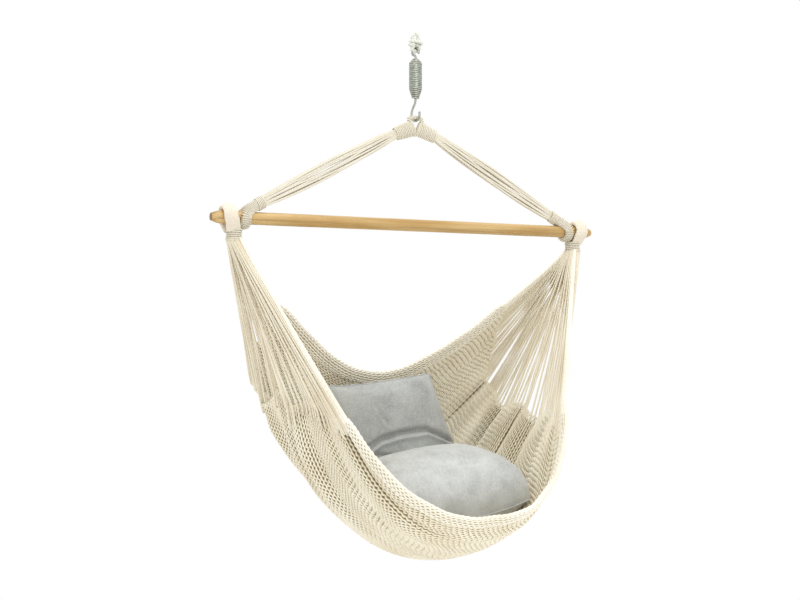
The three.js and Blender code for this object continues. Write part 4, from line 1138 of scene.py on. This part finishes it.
seatCushion = {
    "width": 396 * mm, "depth": 338 * mm, "crown": 147 * mm, "belly": 94 * mm, "dish": 20 * mm,
    "tilt": math.radians(3), "roll": math.radians(6), "place": (13 * mm, -77 * mm, -1204 * mm), "full": 0.24,
    "under": 0.6, "corner": 0.12, "spread": 0.0, "lean": 0.0, "fold": 0.0, "cap": 12 * mm, "fill": 0.75,
    # each crease: a line across the cover in its own plane, its depth and its half width, mm
    "creases": [([(-150, 60), (-70, 20), (-20, -60)], 4, 10), ([(-40, 30), (10, -60), (40, -140)], 5, 9),
                ([(60, 90), (130, 30), (170, -60)], 4, 12)],
}
backCushion = {
    "width": 368 * mm, "depth": 296 * mm, "crown": 47 * mm, "belly": 47 * mm, "dish": 0.0,
    "tilt": math.radians(86), "roll": math.radians(6), "place": (-4 * mm, 122 * mm, -1024 * mm),
    "full": 0.42, "under": 0.42, "corner": 0.06, "spread": 0.12, "lean": 22 * mm, "fold": 26 * mm,
    "cap": 9 * mm, "fill": 0.6,
    "creases": [([(-210, -80), (-150, -58), (-103, -34), (-60, -14), (-4, -6), (77, -8), (150, -46),
                  (200, -70)], 20, 7),
                ([(-190, -72), (-130, -58), (-80, -54), (-30, -64)], 12, 6),
                ([(-80, 110), (-50, 40), (-20, 6)], 5, 8)],
}
filling = {"pressure": 4.0, "mass": 0.2, "stiffness": 20, "bending": 0.3, "frames": 20, "voxel": 5 * mm}
# length and height of the covers' small wrinkles
wrinkleSizes = [(110 * mm, 2.6 * mm), (60 * mm, 1.5 * mm), (35 * mm, 0.8 * mm)]
piping = {"tall": 2.4 * mm, "half": 1.5 * mm, "out": 0.8 * mm}


def creaseLine(corners, x):
    across, down = np.array(corners, float).T * mm
    return np.interp(x, across, down)


# From the cushion's own plane to the chair: tipped up, then rolled in the plane it faces
def cushionTurn(look):
    tilt, roll = look["tilt"], look["roll"]
    tipped = np.array([[1, 0, 0], [0, math.cos(tilt), -math.sin(tilt)], [0, math.sin(tilt), math.cos(tilt)]])
    rolled = np.array([[math.cos(roll), 0, -math.sin(roll)], [0, 1, 0], [math.sin(roll), 0, math.cos(roll)]])
    return rolled @ tipped


# Creases in the upper cover: a valley with a small ridge on its lower side, fading out at both ends
def creased(points, look):
    own = (points - vec(*look["place"])) @ cushionTurn(look)
    lift = np.zeros(len(points))
    for corners, deep, half in look["creases"]:
        start, end = corners[0][0] * mm, corners[-1][0] * mm
        off = (own[:, 1] - creaseLine(corners, own[:, 0])) / (half * mm)
        inside = np.minimum(own[:, 0] - start, end - own[:, 0])
        fade = smooth(-5 * mm, 30 * mm, inside) * (own[:, 2] > -5 * mm)
        lift += deep * mm * fade * (0.5 * np.exp(-((off + 1.7) ** 2)) - np.exp(-(off**2)))
    return lift


def cushionGrid(look, steps=44):
    s = np.sin(np.linspace(-1, 1, steps + 1) * math.pi / 2)
    a, b = np.meshgrid(s, s, indexing="ij")
    x = look["width"] / 2 * a * (1 - 0.06 * a * a * (1 - b * b)) * np.sqrt(1 - look["corner"] * b**4)
    y = look["depth"] / 2 * b * (1 - 0.06 * b * b * (1 - a * a)) * np.sqrt(1 - look["corner"] * a**4)
    x = x * (1 - look["spread"] * b) - look["lean"] * b
    rise = ((1 - a * a) * (1 - b * b)).clip(0)
    top = np.stack([x, y, look["crown"] * rise ** look["full"] + look["dish"] * a * a], -1)
    low = np.stack([x, y, -look["belly"] * rise ** look["under"] + look["dish"] * a * a], -1)
    number = np.arange(a.size).reshape(a.shape)
    inner = np.zeros(a.shape, bool)
    inner[1:-1, 1:-1] = True
    lowNumber = number.copy()
    lowNumber[inner] = a.size + np.arange(inner.sum())
    points = np.concatenate([top.reshape(-1, 3), low[inner]])
    # the lower part folds forward below the first crease
    line = creaseLine(look["creases"][0][0], points[:, 0])
    foot = np.clip((line - points[:, 1]) / (look["depth"] / 2), 0, 1)
    points[:, 2] += look["fold"] * foot**1.2
    quads = np.concatenate([gridQuads(number)[:, [0, 3, 2, 1]], gridQuads(lowNumber)[:, [1, 2, 3, 0]]])
    points = points @ cushionTurn(look).T + vec(*look["place"])
    return points, quads, points[rimOf(number)]


def readVertices(mesh, what="co"):
    found = np.empty(len(mesh.vertices) * 3, np.float32)
    mesh.vertices.foreach_get(what, found)
    return found.reshape(-1, 3).astype(float)


def writeVertices(mesh, points):
    mesh.vertices.foreach_set("co", points.astype(np.float32).ravel())
    mesh.update()


# The cover swells like a filled one; no point moves by more than the cap.
def filled(made, cap):
    before = readVertices(made.data)
    cloth = made.modifiers.new("filling", "CLOTH")
    settings = cloth.settings
    settings.use_pressure = True
    settings.uniform_pressure_force = filling["pressure"]
    settings.mass = filling["mass"]
    settings.tension_stiffness = settings.compression_stiffness = filling["stiffness"]
    settings.bending_stiffness = filling["bending"]
    settings.effector_weights.gravity = 0.0
    settings.quality = 4
    cloth.point_cache.frame_start = 1
    cloth.point_cache.frame_end = filling["frames"]
    scene = bpy.context.scene
    for step in range(1, filling["frames"] + 1):
        scene.frame_set(step)
    moved = readVertices(made.evaluated_get(bpy.context.evaluated_depsgraph_get()).data) - before
    size = np.linalg.norm(moved, axis=1, keepdims=True)
    made.modifiers.clear()
    scene.frame_set(1)
    return before + moved * np.minimum(1, cap / np.maximum(size, 1e-9))


def wrinkles(points, centre, seed):
    rng = np.random.default_rng(seed)
    away = points - centre
    lift = np.zeros(len(points))
    for size, high in wrinkleSizes:
        for _ in range(3):
            way = unit(rng.normal(size=3) * vec(1, 1, 0.6))
            side = unit(rng.normal(size=3))
            bend = np.sin(away @ side / size * 2.1 + rng.uniform(0, 6)) * 0.6
            lift += high / 3 * np.sin(away @ way / size * math.pi + bend * 2 + rng.uniform(0, 6))
    return lift


# The surface that the cushions lie on: the net's inner face
def netTree(lift=4.6 * mm):
    u, v = np.meshgrid(np.linspace(-1, 1, 90), np.linspace(0, 1, 120), indexing="ij")
    surface = netSurface(u, v, lift).reshape(-1, 3)
    quads = gridQuads(np.arange(u.size).reshape(u.shape))
    return BVHTree.FromPolygons([Vector(p) for p in surface], [tuple(q) for q in quads.tolist()])


def pressed(points, tree, way, reach=160 * mm):
    way = Vector(way)
    for i, p in enumerate(points):
        hit, _, _, distance = tree.ray_cast(Vector(p) - way * reach, way, reach * 1.5)
        if hit is not None and distance < reach:
            points[i] = hit
    return points


# The seam round a cover: a folded edge that stands up from it
def pipingPiece(name, seam, mesh, points, material, body):
    faces = [tuple(face.vertices) for face in mesh.polygons]
    cover = BVHTree.FromPolygons([Vector(p) for p in points], faces)
    found = [cover.find_nearest(Vector(p)) for p in evenly(seam, 260, True)]
    line, ways = np.array([f[0] for f in found]), np.array([f[1] for f in found])
    for _ in range(3):
        line, ways = ((np.roll(row, 1, 0) + 2 * row + np.roll(row, -1, 0)) / 4 for row in (line, ways))
    ways = unit(ways)
    line = line + ways * piping["out"]
    seamed = tubes(line[None], ways[None], piping["tall"], piping["half"], 8, True)
    piece(name + "Seam", seamed, material, body)


def cushionPiece(name, look, material, body, node, tree, pressWay, seed):
    points, quads, seam = cushionGrid(look)
    made = piece(name, (points, quads, np.zeros((len(quads), 4, 2))), material, None)
    remesh = made.modifiers.new("voxels", "REMESH")
    remesh.mode = "VOXEL"
    remesh.voxel_size = filling["voxel"]
    evaluated = made.evaluated_get(bpy.context.evaluated_depsgraph_get())
    made.data = bpy.data.meshes.new_from_object(evaluated)
    made.modifiers.clear()
    points = filled(made, look["cap"])
    mesh = made.data
    writeVertices(mesh, points)
    lift = wrinkles(points, vec(*look["place"]), seed) + creased(points, look)
    points = pressed(points + readVertices(mesh, "normal") * lift[:, None], tree, pressWay)
    pipingPiece(name, seam, mesh, points, material, body)
    mesh.polygons.foreach_set("use_smooth", np.ones(len(mesh.polygons), bool))
    writeVertices(mesh, points)
    if not mesh.materials:
        mesh.materials.append(material)
    finer = made.modifiers.new("finer", "SUBSURF")
    finer.levels = finer.render_levels = 1
    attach(made, body)
    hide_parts(node)
    print(name, "made, vertices", len(points))


tree = netTree()
cushionPiece("backCushion", backCushion, linenDark, "back_pad", "back_cushion", tree, (0, 1, 0), 3)
cushionPiece("seatCushion", seatCushion, linen, "seat_pad", "seat_cushion", tree, (0, 0, -1), 5)


# Stage: a pale floor under the chair, a white surround, two broad lamps and soft light from all round

stageLook = {
    "floorZ": -1.78,
    "floorHalf": 30,
    "floorColour": "#fcfcfc",
    "floorWhite": 0.965,  # the rest shows the chair's shadow
    "fillLight": 0.98,
    "aim": (0, 0, -0.95),
    # place, width and power
    "lamps": {"keyLamp": ((-0.5, -3.0, 0.5), 2.0, 21.0), "topLamp": ((-0.3, -0.3, 2.0), 2.0, 33.0)},
}


def floorPiece():
    mesh = bpy.data.meshes.new("floor")
    size = stageLook["floorHalf"]
    corners = [(-size, -size, 0), (size, -size, 0), (size, size, 0), (-size, size, 0)]
    mesh.from_pydata(corners, [], [(0, 1, 2, 3)])
    floor = bpy.data.objects.new("floor", mesh)
    floor.location = (0, 0, stageLook["floorZ"])
    bpy.context.scene.collection.objects.link(floor)
    material, add, _ = startMaterial("paleFloor")
    shader = add("BsdfPrincipled", {"Base Color": linearColour(stageLook["floorColour"]), "Roughness": 0.9})
    white = add("Emission", {"Color": (1, 1, 1, 1), "Strength": 1.0})
    seen = add("LightPath", {}, "Is Camera Ray")
    share = add("Math", {0: seen, 1: stageLook["floorWhite"]}, operation="MULTIPLY")
    add("OutputMaterial", {"Surface": add("MixShader", {0: share, 1: shader, 2: white})})
    mesh.materials.append(material)


def lightPieces():
    world = bpy.data.worlds.new("whiteRoom")
    bpy.context.scene.world = world
    world.use_nodes = True
    world.node_tree.nodes.clear()
    add = partial(addNode, world.node_tree)
    seen = add("LightPath", {}, "Is Camera Ray")
    rays = seen.node.outputs
    for name in ("Is Glossy Ray", "Is Transmission Ray"):
        seen = add("Math", {0: seen, 1: rays[name]}, operation="MAXIMUM")
    strength = add("MapRange", {0: seen, 3: stageLook["fillLight"], 4: 1.0})
    add("OutputWorld", {"Surface": add("Background", {"Color": (1, 1, 1, 1), "Strength": strength})})

    for name, (place, across, power) in stageLook["lamps"].items():
        light = bpy.data.lights.new(name, "AREA")
        light.shape = "SQUARE"
        light.size = across
        light.energy = power
        lamp = bpy.data.objects.new(name, light)
        lamp.location = place
        lamp.rotation_mode = "QUATERNION"
        lamp.rotation_quaternion = (Vector(stageLook["aim"]) - Vector(place)).to_track_quat("-Z", "Y")
        bpy.context.scene.collection.objects.link(lamp)


floorPiece()
lightPieces()


# Camera: the photograph's view, from the front left at the height of the fans

cameraLook = {"turn": math.radians(28.4), "distance": 3.2, "height": -0.7464, "sensor": 36,
              "pixels": 800, "focalPixels": 1245, "shiftPixels": (-15.5, 26)}


def cameraPiece():
    look = cameraLook
    turn, distance, pixels = look["turn"], look["distance"], look["pixels"]
    data = bpy.data.cameras.new("photoCamera")
    data.sensor_width = look["sensor"]
    data.lens = look["focalPixels"] / pixels * look["sensor"]
    data.shift_x, data.shift_y = (shift / pixels for shift in look["shiftPixels"])
    camera = bpy.data.objects.new("photoCamera", data)
    camera.location = (-distance * math.sin(turn), -distance * math.cos(turn), look["height"])
    camera.rotation_euler = (math.pi / 2, 0, -turn)
    bpy.context.scene.collection.objects.link(camera)
    bpy.context.scene.camera = camera


cameraPiece()
bpy.context.scene.view_settings.view_transform = "Standard"

print("scene made")
